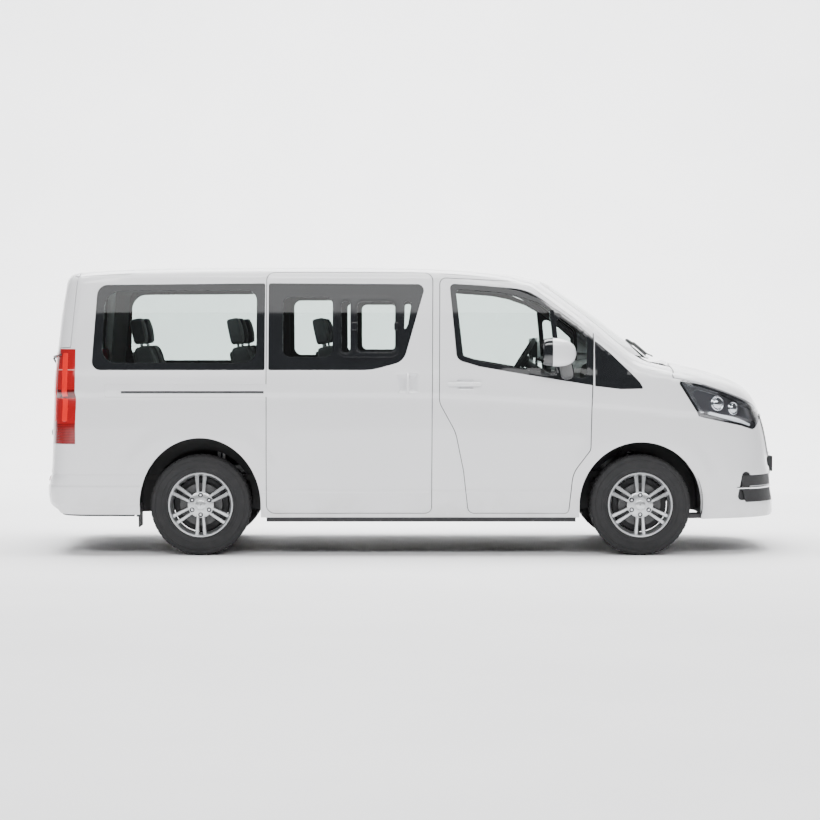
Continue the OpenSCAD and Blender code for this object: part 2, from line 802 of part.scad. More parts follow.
// Engine with its gearbox, as one block
module engine_block() color(black) {
    box([front_x + 10, -300, 470], [front_x + 480, 300, 1040]);
    box([front_x - 700, -180, 330], [front_x + 20, 180, floor_z - sheet - 10]);
    box([front_x - 120, -rail_half + 70 + seam, 420], [front_x - 40, rail_half - 70 - seam, 500]);
}
module fuel_tank() color(black) translate([rear_x + 820, 0, 0])
    box([0, -rail_half + 80, 300], [900, -60, floor_z - sheet - seam]);
module exhaust() color(steel) facetted() {
    bar([front_x - 720, 260, 370], [rear_x + 640, 260, 345], 28);
    box([rear_x + 700, 170, 310], [rear_x + 1300, 350, 440]);
    box([rear_x + 720, 240, 430], [rear_x + 760, 280, floor_z - sheet - seam]);
    bar([rear_x + 650, 245, 345], [rear_x + 620, 700, 325], 28);
    bar([rear_x + 620, 690, 335], [rear_x + 600, 740, 250], 28);
}
// The spare wheel lies between the axle and the end crossmember
spare_from_axle = 192;
spare_from_tail = 278;
spare_r = min(330, (rear_overhang - spare_from_axle - spare_from_tail) / 2);
module spare_wheel() color(black) translate([rear_x - spare_from_axle - spare_r, 0, 270]) {
    difference() {
        cylinder(h = 200, r = spare_r, $fn = 48);
        translate([0, 0, 60]) cylinder(h = 200, r = spare_r - 130, $fn = 48);
        translate([0, 0, -1]) cylinder(h = 80, r = 45, $fn = 32);
    }
    // carrier
    translate([0, 0, 50]) cylinder(h = floor_z - sheet - seam - 320, r = 60, $fn = 32);
}

arm_levels = [axle_z - 124, axle_z + 112];
module front_suspension() color(black) {
    difference() {
        union() {
            box([front_x - 60, -rail_half - 40, axle_z - 120], [front_x + 60, rail_half + 40, axle_z - 50]);
            both_sides() {
                // tower beside the frame rail
                box(
                    [front_x - 60, -rail_half - 40, axle_z - 120],
                    [front_x + 60, -rail_half - seam, axle_z + 140]
                );
                for (z = arm_levels) {
                    box([front_x - 30, -kingpin_y, z], [front_x + 30, -rail_half - 20, z + 22]);
                    translate([front_x, -kingpin_y, z]) cylinder(h = 22, r = 30, $fn = 32);
                }
            }
        }
        both_sides() translate([front_x, -kingpin_y, axle_z - 200])
            cylinder(h = 400, r = kingpin_r + pin_slack, $fn = 32);
    }
}

// Upright, kingpin and spindle of a front wheel
module knuckle() color(steel) {
    translate([front_x, -kingpin_y, arm_levels[0] - 6])
        cylinder(h = arm_levels[1] - arm_levels[0] + 34, r = kingpin_r, $fn = 32);
    translate([front_x, -kingpin_y, arm_levels[0] + 24])
        cylinder(h = arm_levels[1] - arm_levels[0] - 26, r = 26, $fn = 32);
    translate([front_x, -kingpin_y, axle_z]) rotate([90, 0, 0])
        cylinder(h = kingpin_offset + 45, r = spindle_r, $fn = 40);
    translate([front_x, -kingpin_y - 18, axle_z]) rotate([90, 0, 0]) cylinder(h = 18, r = 48, $fn = 40);
    box([front_x - 120, -kingpin_y - 12, axle_z - 70], [front_x, -kingpin_y + 12, axle_z - 50]);
}
module knuckle_right() knuckle();
module knuckle_left() to_left() knuckle();

module rear_axle() color(black) {
    bar([rear_x, -wheel_y + 140, axle_z], [rear_x, wheel_y - 140, axle_z], 30);
    bar([rear_x, -wheel_y - 45, axle_z], [rear_x, wheel_y + 45, axle_z], spindle_r);
    translate([rear_x, 0, axle_z]) sphere(r = 128, $fn = 32);
    bar([rear_x, 0, axle_z], [front_x - 704, 0, 398], 38);
    both_sides() {
        // leaf springs, their shackles and axle clamps
        box([rear_x - 620, -wheel_y + 246, 372], [rear_x - 250, -wheel_y + 306, 396]);
        box([rear_x - 270, -wheel_y + 246, 330], [rear_x + 270, -wheel_y + 306, 384]);
        box([rear_x + 250, -wheel_y + 246, 372], [rear_x + 560, -wheel_y + 306, 396]);
        for (x = [rear_x - 620, rear_x + 520])
            box([x, -wheel_y + 246, 380], [x + 40, -rail_half - seam, 480]);
        box([rear_x - 60, -wheel_y + 236, 290], [rear_x + 60, -wheel_y + 316, 420]);
    }
}

module mud_flaps() color(black) both_sides() box(
    [rear_x - rear_arch_r - 12 + seam, -half + 79, 200],
    [rear_x - rear_arch_r - 2, -kingpin_y + 60, axle_z + 4]
);

// ---- Wheels --------------------------------------------------------------------------

rim_r = rim_d / 2 - 16;
module tyre_ring() rotate([90, 0, 0]) rotate_extrude($fn = 72) polygon([
    [rim_r + 0.4, -tyre_w / 2 + 18], [rim_r + 22, -tyre_w / 2 + 12], [rim_r + 55, -tyre_w / 2],
    [tyre_d / 2 - 45, -tyre_w / 2 + 2], [tyre_d / 2 - 12, -tyre_w / 2 + 16],
    [tyre_d / 2 - 2, -tyre_w / 2 + 34], [tyre_d / 2, -tyre_w / 2 + 60],
    [tyre_d / 2, tyre_w / 2 - 60], [tyre_d / 2 - 2, tyre_w / 2 - 34], [tyre_d / 2 - 12, tyre_w / 2 - 16],
    [tyre_d / 2 - 45, tyre_w / 2 - 2], [rim_r + 55, tyre_w / 2],
    [rim_r + 22, tyre_w / 2 - 12], [rim_r + 0.4, tyre_w / 2 - 18]
]);
module tyre() color(black) tyre_ring();

// Rim, hub and brake disc; the outer face looks to -Y
module wheel() color(steel) {
    face = tyre_w / 2 - 8;
    difference() {
        union() {
            rotate([90, 0, 0]) rotate_extrude($fn = 72) polygon([
                [rim_r - 12, -face], [rim_r + 16, -face], [rim_r + 16, -face + 4], [rim_r, -face + 8],
                [rim_r, face - 8], [rim_r + 16, face - 4], [rim_r + 16, face], [rim_r - 12, face]
            ]);
            translate([0, -face + 30, 0]) rotate([90, 0, 0]) cylinder(h = 22, r = rim_r - 2, $fn = 72);
            translate([0, 38, 0]) rotate([90, 0, 0]) cylinder(h = face - 10 + 38, r = 74, $fn = 48);
        }
        // windows between the six pairs of spokes
        for (a = [0:60:300]) rotate([0, a, 0]) hull() for (s = [-1, 1]) {
            translate([s * 24, 0, 110]) rotate([90, 0, 0]) cylinder(h = 200, r = 12, $fn = 16);
            translate([s * 52, 0, 182]) rotate([90, 0, 0]) cylinder(h = 200, r = 12, $fn = 16);
        }
        translate([0, 200, 0]) rotate([90, 0, 0]) cylinder(h = 270, r = spindle_r + 0.5, $fn = 40);
    }
}
module place_wheel(x, side) translate([x, -side * wheel_y, axle_z]) if (side > 0) children(); else to_left() children();
module wheel_front_right() place_wheel(front_x, 1) wheel();
module wheel_front_left() place_wheel(front_x, -1) wheel();
module wheel_rear_right() place_wheel(rear_x, 1) wheel();
module wheel_rear_left() place_wheel(rear_x, -1) wheel();
module tyre_front_right() place_wheel(front_x, 1) tyre();
module tyre_front_left() place_wheel(front_x, -1) tyre();
module tyre_rear_right() place_wheel(rear_x, 1) tyre();
module tyre_rear_left() place_wheel(rear_x, -1) tyre();

// ---- Cabin ---------------------------------------------------------------------------

// Seats stand on the floor; x is a little ahead of the hinge of cushion and back
module seat(x, y, w) facetted() translate([x, y, floor_z + seam]) {
    box([-10, -w / 2 + 60, 0], [340, w / 2 - 60, 240]);
    box([-90, -w / 2, 230], [390, w / 2, 350]);
    translate([-60, 0, 300]) rotate([0, -14, 0]) {
        box([-90, -w / 2, 0], [5, w / 2, 700]);
        box([-80, -130, 690], [-10, 130, 930]);
    }
}
module seat_row(x) {
    seat(x, -590, 450);
    seat(x, -125, 450);
    seat(x, 600, 450);
}
module front_seats() color(cloth) for (y = [-420, 420]) seat(front_x - 1280, y, 520);
module second_row_seats() color(cloth) seat_row(rear_x + 1097);
module third_row_seats() color(cloth) seat_row(rear_x + 480);
module fourth_row_seats() color(cloth) for (y = [-225, 225]) seat(rear_x - 258, y, 440);

wheel_centre = [front_x - 812, -400, belt_z + 48];
column_tilt = 32;
module dashboard() color(black) {
    difference() {
        across(-half + 175, half - 175) polygon(rounded([
            [front_x - 430, belt_z - 420, 40], [front_x - 420, belt_z + 40, 60],
            [front_x - 250, belt_z + 70, 60], [front_x - 10, belt_z + 40], [front_x - 10, belt_z - 20 + seam],
            [front_x - 30 - seam - 2, belt_z - 20 + seam], [front_x - 63, floor_z + 295],
            [front_x - 250, belt_z - 440, 40]
        ]));
        box([front_x - 200, -reach, 0], [front_x + 100, -half + 200, belt_z]);
        box([front_x - 200, half - 200, 0], [front_x + 100, reach, belt_z]);
    }
    translate(wheel_centre) rotate([0, 90 + column_tilt, 0]) {
        translate([0, 0, 40]) cylinder(h = 420, r = 34, $fn = 32);
        translate([0, 0, -8]) cylinder(h = 60, r = 11, $fn = 32);
    }
}
module steering_wheel() color(black) translate(wheel_centre) rotate([0, 90 + column_tilt, 0]) {
    rotate_extrude($fn = 48) translate([175, 0]) circle(r = 14, $fn = 16);
    difference() {
        union() {
            translate([0, 0, -14]) cylinder(h = 40, r = 62, $fn = 32);
            for (a = [0, 120, 240]) rotate([0, 0, a + 90]) box([40, -18, -8], [172, 18, 10]);
        }
        translate([0, 0, -9]) cylinder(h = 60, r = 11.5, $fn = 32);
    }
}

// Height of the upper face over a point of the plan
function top_z(x, y) = lookup(x + bow * y * y, crest) - crown * y * y;
// Two wipers that meet in the middle, each on a pivot at its own side
wiper_x = front_x + 108;
wiper_y = 560;
wiper_len = 520;  // across the glass
wiper_lift = 22;  // from the glass to the arm's middle
module wipers() color(black) both_sides() facetted() {
    // pivot standing on the cowl
    difference() {
        translate([wiper_x, -wiper_y, belt_z - 50])
            cylinder(h = top_z(wiper_x, wiper_y) - belt_z + 55 + wiper_lift, r = 20, $fn = 24);
        form(40 - seam);
    }
    // arm and blade in one, held just off the glass
    tip = [front_x - 30, wiper_len - wiper_y];
    bar(
        [wiper_x, -wiper_y, top_z(wiper_x, wiper_y) + wiper_lift],
        [tip.x, tip.y, top_z(tip.x, tip.y) + wiper_lift],
        7
    );
}

floor_pan();
bulkhead();
roof_panel();
side_panel_right();
side_panel_left();
wing_right();
wing_left();
cowl();
front_bumper();
rear_bumper();
grille();
headlamps();
tail_lamps();
windscreen();
quarter_glass();
wipers();
dashboard();
front_seats();
second_row_seats();
third_row_seats();
fourth_row_seats();
engine_block();
fuel_tank();
exhaust();
spare_wheel();
front_suspension();
rear_axle();
mud_flaps();
sliding_door_right();
sliding_door_left();
sliding_door_glass();
front_door_right();
front_door_glass_right();
mirror_right();
front_door_left();
front_door_glass_left();
mirror_left();
tailgate();
tailgate_glass();
bonnet();
knuckle_right();
knuckle_left();
steering_wheel();
wheel_front_right();
tyre_front_right();
wheel_front_left();
tyre_front_left();
wheel_rear_right();
tyre_rear_right();
wheel_rear_left();
tyre_rear_left();
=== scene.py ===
import math

import bpy
import json
import numpy as np
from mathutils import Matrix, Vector
from mathutils.geometry import delaunay_2d_cdt


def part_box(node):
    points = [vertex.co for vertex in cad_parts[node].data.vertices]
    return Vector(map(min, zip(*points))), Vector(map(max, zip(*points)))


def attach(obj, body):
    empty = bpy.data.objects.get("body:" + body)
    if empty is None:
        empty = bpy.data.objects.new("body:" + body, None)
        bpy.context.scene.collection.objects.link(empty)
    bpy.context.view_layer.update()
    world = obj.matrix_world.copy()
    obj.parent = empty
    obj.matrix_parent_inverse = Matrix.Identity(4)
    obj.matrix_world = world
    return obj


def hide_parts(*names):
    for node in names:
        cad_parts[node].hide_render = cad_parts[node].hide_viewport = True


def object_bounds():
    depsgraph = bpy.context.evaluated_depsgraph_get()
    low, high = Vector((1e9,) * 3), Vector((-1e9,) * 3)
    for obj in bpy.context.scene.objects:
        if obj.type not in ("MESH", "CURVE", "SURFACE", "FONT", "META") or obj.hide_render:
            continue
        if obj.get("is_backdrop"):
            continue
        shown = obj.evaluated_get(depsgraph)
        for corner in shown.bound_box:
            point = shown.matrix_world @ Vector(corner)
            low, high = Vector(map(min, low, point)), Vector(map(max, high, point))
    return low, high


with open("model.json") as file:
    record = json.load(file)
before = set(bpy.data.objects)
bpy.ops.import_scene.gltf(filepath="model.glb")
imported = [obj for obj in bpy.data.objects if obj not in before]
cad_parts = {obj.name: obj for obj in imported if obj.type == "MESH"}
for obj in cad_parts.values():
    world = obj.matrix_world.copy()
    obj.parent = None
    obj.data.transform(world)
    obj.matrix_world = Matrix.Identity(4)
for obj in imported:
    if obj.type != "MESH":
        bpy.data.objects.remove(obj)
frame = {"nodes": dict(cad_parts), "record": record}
cad_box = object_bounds()

# ---- Studio --------------------------------------------------------------------------
# A seamless pale sweep: floor, a wide bend and a wall behind the minibus. One long soft
# box stands high behind the camera, another hangs over the roof, and the room fills in.


class Shade:
    """A value in a shader. Arithmetic on it adds the nodes that work it out."""

    def __init__(self, tree, socket=None):
        self.tree = tree
        self.socket = socket

    def node(self, kind, settings=None, inputs=None, out=0):
        made = self.tree.nodes.new(kind)
        for key, value in (settings or {}).items():
            if key == "ramp":
                stops = made.color_ramp.elements
                while len(stops) < len(value):
                    stops.new(1.0)
                for stop, (position, colour) in zip(stops, value):
                    stop.position = position
                    stop.color = (*colour, 1) if isinstance(colour, tuple) else (colour,) * 3 + (1,)
            else:
                setattr(made, key, value)
        for key, value in (inputs or {}).items():
            if isinstance(value, Shade):
                self.tree.links.new(value.socket, made.inputs[key])
            else:
                made.inputs[key].default_value = value
        return Shade(self.tree, made.outputs[out] if made.outputs else None)

    def math(self, operation, *values):
        return self.node("ShaderNodeMath", {"operation": operation}, dict(enumerate(values)))

    def __add__(self, other):
        return self.math("ADD", self, other)

    def __sub__(self, other):
        return self.math("SUBTRACT", self, other)

    def __rsub__(self, other):
        return self.math("SUBTRACT", other, self)

    def __mul__(self, other):
        return self.math("MULTIPLY", self, other)

    def __truediv__(self, other):
        return self.math("DIVIDE", self, other)

    __radd__ = __add__
    __rmul__ = __mul__

    def mix(self, low, high):
        """low where this value is 0 and high where it is 1, for colours."""
        wide = {6: (*low, 1) if isinstance(low, tuple) else low,
            7: (*high, 1) if isinstance(high, tuple) else high}
        return self.node("ShaderNodeMix", {"data_type": "RGBA"}, {0: self, **wide}, out=2)

    def between(self, low, high):
        """0 under low, 1 over high and even in between."""
        limits = {0: self, 1: low, 2: high, 3: 0.0, 4: 1.0}
        return self.node("ShaderNodeMapRange", {"interpolation_type": "SMOOTHSTEP"}, limits)


def finish(name, **fixed):
    """A material with its Principled shader: its Shade, the shader node and the material."""
    material = bpy.data.materials.new(name)
    material.use_nodes = True
    shader = material.node_tree.nodes["Principled BSDF"]
    for key, value in fixed.items():
        socket = shader.inputs[key.replace("_", " ")]
        socket.default_value = (*value, 1) if isinstance(value, tuple) else value
    return Shade(material.node_tree), shader, material


def vary(shade, shader, **sockets):
    """Links worked-out values to a shader's sockets."""
    for key, value in sockets.items():
        shade.tree.links.new(value.socket, shader.inputs[key.replace("_", " ")])


def place(shade):
    """Where a point of the surface is, in metres, fixed to the piece."""
    return shade.node("ShaderNodeTexCoord", out=3)


def noise(shade, scale, detail=3.0, where=None):
    """Soft patches from 0 to 1, that many to the metre."""
    settings = {"noise_dimensions": "3D"}
    return shade.node("ShaderNodeTexNoise", settings,
        {"Vector": where or place(shade), "Scale": scale, "Detail": detail})


def bands(shade, way, scale, where=None):
    """Stripes across X, Y, Z or a diagonal."""
    settings = {"wave_type": "BANDS", "bands_direction": way}
    return shade.node("ShaderNodeTexWave", settings, {"Vector": where or place(shade), "Scale": scale})


def bump(shade, height, strength, distance):
    return shade.node("ShaderNodeBump", None, {"Strength": strength, "Distance": distance,
        "Height": height})


def mottled(name, patch, dark, pale, grain=None, **fixed):
    """A material whose colour wanders between two, by patches of a scale. A grain is its
    scale, strength and depth."""
    shade, shader, material = finish(name, **fixed)
    worked = {"Base_Color": noise(shade, patch).mix(dark, pale)}
    if grain:
        worked["Normal"] = bump(shade, noise(shade, grain[0]), *grain[1:])
    vary(shade, shader, **worked)
    return material


def make_mesh(name, points, faces, normals=None):
    """A smooth mesh of the points that its faces use."""
    used = sorted({i for face in faces for i in face})
    index = {old: new for new, old in enumerate(used)}
    points = [points[i] for i in used]
    faces = [[index[i] for i in face] for face in faces]
    if normals is not None:
        normals = [normals[i] for i in used]
    mesh = bpy.data.meshes.new(name)
    mesh.from_pydata([tuple(p) for p in points], [], [tuple(f) for f in faces])
    mesh.shade_smooth()
    if normals is not None:
        mesh.normals_split_custom_set_from_vertices([tuple(n) for n in normals])
    return mesh


def stand(name, mesh, material):
    thing = bpy.data.objects.new(name, mesh)
    bpy.context.scene.collection.objects.link(thing)
    mesh.materials.append(material)
    return thing


def studio_sweep():
    width, front, bend_from, bend_r, height = 26.0, -26.0, 9.0, 6.0, 16.0
    profile = [(front, 0.0), (bend_from, 0.0)]
    for i in range(1, 25):
        a = math.radians(90 * i / 24)
        profile.append((bend_from + bend_r * math.sin(a), bend_r * (1 - math.cos(a))))
    profile.append((bend_from + bend_r, height))
    points = [(x, y, z) for x in (-width, width) for y, z in profile]
    n = len(profile)
    faces = [(i, i + n, i + n + 1, i + 1) for i in range(n - 1)]
    shade, shader, material = finish("studio_paper", Roughness=0.75, Specular_IOR_Level=0.15)
    vary(shade, shader, Base_Color=noise(shade, 0.7).between(0.3, 0.7).mix((0.86, 0.86, 0.868),
        (0.89, 0.89, 0.897)))
    sweep = stand("studio_sweep", make_mesh("studio_sweep", points, faces), material)
    sweep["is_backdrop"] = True


def soft_box(name, where, aim, size, power):
    lamp = bpy.data.lights.new(name, "AREA")
    lamp.shape = "RECTANGLE"
    lamp.size, lamp.size_y = size
    lamp.energy = power
    thing = bpy.data.objects.new(name, lamp)
    thing.location = where
    thing.rotation_euler = (Vector(aim) - Vector(where)).to_track_quat("-Z", "Y").to_euler()
    bpy.context.scene.collection.objects.link(thing)


studio_sweep()
soft_box("long_box", (0.0, -9.5, 7.2), (0.0, 0.0, 1.0), (18.0, 4.6), 470)
soft_box("top_box", (0.0, 0.5, 7.5), (0.0, 0.0, 0.0), (11.0, 5.0), 2300)
soft_box("floor_box", (0.0, -11.5, 9.0), (0.0, -12.5, 0.0), (20.0, 5.0), 2600)
soft_box("back_box", (0.0, 7.5, 8.5), (0.0, 12.0, 2.0), (22.0, 3.0), 5200)

room = bpy.data.worlds.new("room")
room.use_nodes = True
bpy.context.scene.world = room
room.node_tree.nodes["Background"].inputs["Color"].default_value = (0.93, 0.94, 0.96, 1)
room.node_tree.nodes["Background"].inputs["Strength"].default_value = 0.13

lens = bpy.data.cameras.new("camera")
lens.lens = 109.1
lens.sensor_width = 36.0
lens.clip_end = 200.0
camera = bpy.data.objects.new("camera", lens)
camera.location = (-0.029, -18.585, 1.575)
camera.rotation_euler = (Vector((-0.029, -0.985, 1.037)) - camera.location).to_track_quat("-Z",
    "Y").to_euler()
bpy.context.scene.collection.objects.link(camera)
bpy.context.scene.camera = camera

# ---- Body form -----------------------------------------------------------------------
# The pressed steel skin is one smooth form: walls that lean in above the belt, a crowned
# roof, and a nose and tail rounded in plan. Roof and walls meet in a soft shoulder.

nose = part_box("front_bumper")[1][0]
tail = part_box("rear_bumper")[0][0]
half = -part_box("side_panel_right")[0][1]
roof_z = cad_box[1][2]
sill_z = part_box("side_panel_right")[0][2]
belt_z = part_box("quarter_glass")[0][2]
wheel_lo, wheel_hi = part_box("tyre_front_right")
front_x = (wheel_lo[0] + wheel_hi[0]) / 2
axle_z = (wheel_lo[2] + wheel_hi[2]) / 2
rear_x = sum(corner[0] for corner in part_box("tyre_rear_right")) / 2
window_top_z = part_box("sliding_door_glass")[1][2]


def smooth_curve(pairs):
    """A curve through (place, value) pairs that never swings past them."""
    x, y = np.array(sorted(pairs)).T
    step = np.diff(x)
    slope = np.diff(y) / step
    tangent = np.concatenate([slope[:1], np.zeros(len(x) - 2), slope[-1:]])
    for i in range(1, len(x) - 1):
        if slope[i - 1] * slope[i] > 0:
            tangent[i] = 2 * slope[i - 1] * slope[i] / (slope[i - 1] + slope[i])
    fine = np.linspace(x[0], x[-1], 3001)
    k = np.clip(np.searchsorted(x, fine) - 1, 0, len(x) - 2)
    u = (fine - x[k]) / step[k]
    value = y[k] * (1 + 2 * u) * (1 - u) ** 2 + step[k] * tangent[k] * u * (1 - u) ** 2
    value += y[k + 1] * u * u * (3 - 2 * u) + step[k] * tangent[k + 1] * u * u * (u - 1)
    return lambda place: np.interp(place, fine, value)


# How far the walls are drawn in at the side, the nose and the tail, by height
side_drop = smooth_curve([
    (sill_z - 0.10, 0.066), (sill_z + 0.018, 0.045), (sill_z + 0.08, 0.034), (sill_z + 0.19, 0.027),
    (sill_z + 0.32, 0.018), (sill_z + 0.53, 0.009), (belt_z - 0.27, 0.003), (belt_z - 0.158, 0.0),
    (belt_z - 0.10, 0.004), (belt_z - 0.035, 0.013), (belt_z, 0.022), (belt_z + 0.18, 0.050),
    (belt_z + 0.38, 0.082), (window_top_z - 0.036, 0.117), (roof_z - 0.10, 0.130), (roof_z + 0.06, 0.152)])
nose_drop = smooth_curve([
    (sill_z - 0.10, 0.07), (sill_z + 0.018, 0.0), (sill_z + 0.08, 0.004), (sill_z + 0.172, 0.020),
    (sill_z + 0.32, 0.032), (sill_z + 0.53, 0.058), (belt_z - 0.27, 0.11), (belt_z - 0.205, 0.14),
    (belt_z - 0.15, 0.16), (belt_z, 0.215), (belt_z + 0.18, 0.25), (roof_z, 0.34)])
tail_drop = smooth_curve([
    (sill_z - 0.10, 0.11), (sill_z + 0.018, 0.08), (sill_z + 0.08, 0.015), (sill_z + 0.172, 0.0),
    (sill_z + 0.25, 0.003), (sill_z + 0.32, 0.025), (sill_z + 0.53, 0.036), (belt_z - 0.15, 0.046),
    (belt_z, 0.055), (belt_z + 0.18, 0.076), (belt_z + 0.38, 0.098), (window_top_z - 0.036, 0.128),
    (roof_z - 0.10, 0.14), (roof_z - 0.062, 0.158), (roof_z - 0.036, 0.19), (roof_z + 0.06, 0.33)])

# The crest line along the middle of roof, windscreen and bonnet
crest = smooth_curve([
    (tail - 0.06, roof_z - 0.095), (tail + 0.10, roof_z - 0.062), (tail + 0.25, roof_z - 0.038),
    (tail + 0.65, roof_z - 0.013), (tail + 1.15, roof_z - 0.003), (front_x - 2.30, roof_z),
    (front_x - 1.61, roof_z - 0.006), (front_x - 1.31, roof_z - 0.017), (front_x - 1.01, roof_z - 0.040),
    (front_x - 0.86, roof_z - 0.060), (front_x - 0.76, roof_z - 0.083), (front_x - 0.645, roof_z - 0.110),
    (front_x - 0.60, roof_z - 0.134), (front_x - 0.40, roof_z - 0.270), (front_x - 0.219, roof_z - 0.398),
    (front_x - 0.04, belt_z + 0.213), (front_x + 0.155, belt_z + 0.082), (front_x + 0.23, belt_z + 0.062),
    (front_x + 0.38, belt_z + 0.028), (front_x + 0.529, belt_z - 0.010), (nose - 0.361, belt_z - 0.059),
    (nose - 0.249, belt_z - 0.111), (nose - 0.175, belt_z - 0.160), (nose - 0.137, belt_z - 0.194),
    (nose - 0.09, belt_z - 0.27), (nose + 0.08, belt_z - 0.56)])
bow = 0.19
crown = 0.0375
shoulder_r = 0.06
nose_power, tail_power = 3.6, 6.0
nose_arc_x, tail_arc_x = front_x - 0.36, tail + 0.55
nose_run = (nose - nose_arc_x) * math.pi / 2
tail_run = (tail_arc_x - tail) * math.pi / 2


def step_up(value, low, high):
    """A smooth step from 0 at low to 1 at high."""
    u = np.clip((value - low) / (high - low), 0, 1)
    return u * u * (3 - 2 * u)


def crease_z(x):
    """The crest of the shoulder line, level to the front door and falling to the headlamp."""
    ahead = np.maximum(x, 0)
    return belt_z - 0.156 - 0.033 * ahead - 0.018 * ahead ** 2


def swell(x, z):
    """What is pressed into the walls: shoulder tuck, door ledge and wheel-arch flares."""
    under = crease_z(x) - z
    tuck = step_up(under, 0.0, 0.045) * (1 - step_up(under, 0.05, 0.26))
    along = step_up(x, rear_x + 0.36, rear_x + 0.50) * (1 - step_up(x, front_x - 0.60, front_x - 0.48))
    ledge = (1 - step_up(z, sill_z + 0.170, sill_z + 0.198)) * step_up(z, sill_z - 0.02,
        sill_z + 0.13) * along
    flare = 0
    for axle, reach in ((front_x, 0.612), (rear_x, 0.65)):
        r = np.hypot(x - axle, z - axle_z)
        flare = flare + (1 - step_up(r, reach - 0.10, reach)) * 0.008
    return -0.013 * tuck + 0.012 * ledge + flare * (1 - step_up(z, belt_z - 0.50, belt_z - 0.25))


def wall_gap(x, y, z):
    """Distance outside the walls, negative inside."""
    w = half - side_drop(z) + swell(x, z)
    ahead = np.maximum(x - nose_arc_x, 0) / (nose - nose_drop(z) - nose_arc_x)
    behind = np.maximum(tail_arc_x - x, 0) / (tail_arc_x - tail - tail_drop(z))
    c = np.abs(y) / w
    front = (ahead ** nose_power + c ** nose_power) ** (1 / nose_power)
    rear = (behind ** tail_power + c ** tail_power) ** (1 / tail_power)
    return (np.maximum(front, rear) - 1) * w


def top_gap(x, y, z):
    """Distance over the roof, windscreen and bonnet."""
    back = x + bow * np.clip((x - front_x + 1.61) / 0.9, 0, 1) * y * y
    slope = (crest(back + 0.01) - crest(back - 0.01)) / 0.02
    return (z - crest(back) + crown * y * y) / np.sqrt(1 + slope ** 2)


def body_gap(point):
    """Distance outside the whole body, its shoulder rounded."""
    a = wall_gap(*point) + shoulder_r
    b = top_gap(*point) + shoulder_r
    return np.hypot(np.maximum(a, 0), np.maximum(b, 0)) + np.minimum(np.maximum(a, b), 0) - shoulder_r


def outward(point):
    """The skin's normal at points given as three rows."""
    h = 0.003
    rows = []
    for i in range(3):
        shift = np.zeros((3, 1))
        shift[i] = h
        rows.append(body_gap(point + shift) - body_gap(point - shift))
    normal = np.array(rows)
    return normal / np.linalg.norm(normal, axis=0)


def to_skin(start, way, low, high):
    """Slides points along their way until they lie on the skin, between two travels."""
    low = np.full(start.shape[1], low)
    high = np.full(start.shape[1], high)
    for _ in range(30):
        middle = (low + high) / 2
        outside = body_gap(start + way * middle) > 0
        high = np.where(outside, middle, high)
        low = np.where(outside, low, middle)
    return start + way * (low + high) / 2


def side_start(u, z):
    """A point of the walls and its way out. u is x along the right side, then the run round
    a corner, across the nose or tail and back along the left side."""
    w = half - side_drop(z)
    p = np.clip((u - nose_arc_x) / nose_run, 0, 2) * math.pi / 2
    q = np.clip((tail_arc_x - u) / tail_run, 0, 2) * math.pi / 2
    r = (np.sin(p) ** nose_power + np.abs(np.cos(p)) ** nose_power) ** (-1 / nose_power)
    s = (np.sin(q) ** tail_power + np.abs(np.cos(q)) ** tail_power) ** (-1 / tail_power)
    x = np.clip(u, tail_arc_x, nose_arc_x) - np.maximum(u - nose_arc_x - 2 * nose_run, 0)
    x = x + np.maximum(tail_arc_x - 2 * tail_run - u, 0)
    x = x + (nose - nose_drop(z) - nose_arc_x) * np.sin(p) * r - (
        tail_arc_x - tail - tail_drop(z)) * np.sin(q) * s
    y = -w * np.cos(p) * r * np.cos(q) * s
    way = np.array([np.sin(p) - np.sin(q), -np.cos(p) * np.cos(q), 0 * p])
    return np.array([x, y, z]), way / np.linalg.norm(way, axis=0)


def on_side(points, depth=0.0):
    """Skin points and normals for (u, z) on the right-hand wall, some way under the face."""
    u, z = np.array(points, dtype=float).T
    start, way = side_start(u, z)
    skin = to_skin(start, way, -0.35, 0.04)
    normal = outward(skin)
    return skin - normal * depth, normal


def on_top(points, depth=0.0):
    """The same for (x, y) on roof, windscreen and bonnet."""
    x, y = np.array(points, dtype=float).T
    start = np.array([x, y, 0 * x + belt_z - 0.6])
    skin = to_skin(start, np.array([[0.0], [0.0], [1.0]]), 0.0, 1.6)
    normal = outward(skin)
    return skin - normal * depth, normal


def run_at(x, z):
    """The run u round a corner at which a side view shows x."""
    ahead = np.clip((x - nose_arc_x) / (nose - nose_drop(z) - nose_arc_x), 0, 1)
    behind = np.clip((tail_arc_x - x) / (tail_arc_x - tail - tail_drop(z)), 0, 1)
    p = np.arctan2(ahead, (1 - ahead ** nose_power) ** (1 / nose_power))
    q = np.arctan2(behind, (1 - behind ** tail_power) ** (1 / tail_power))
    return np.clip(x, tail_arc_x, nose_arc_x) + nose_run * p * 2 / math.pi - tail_run * q * 2 / math.pi


def run_front(y, z):
    """The run u on the nose at which a front view shows y."""
    c = np.clip(np.abs(y) / (half - side_drop(z)), 0, 1)
    p = np.arctan2((1 - c ** nose_power) ** (1 / nose_power), c)
    return nose_arc_x + nose_run * p * 2 / math.pi


def run_back(y, z):
    """The run u on the tail at which a rear view shows y."""
    c = np.clip(np.abs(y) / (half - side_drop(z)), 0, 1)
    q = np.arctan2((1 - c ** tail_power) ** (1 / tail_power), c)
    return tail_arc_x - tail_run * q * 2 / math.pi


def run_of(run, across, z):
    """The run u of one place, by any of the three."""
    return run(np.array([across]), np.array([z]))[0]


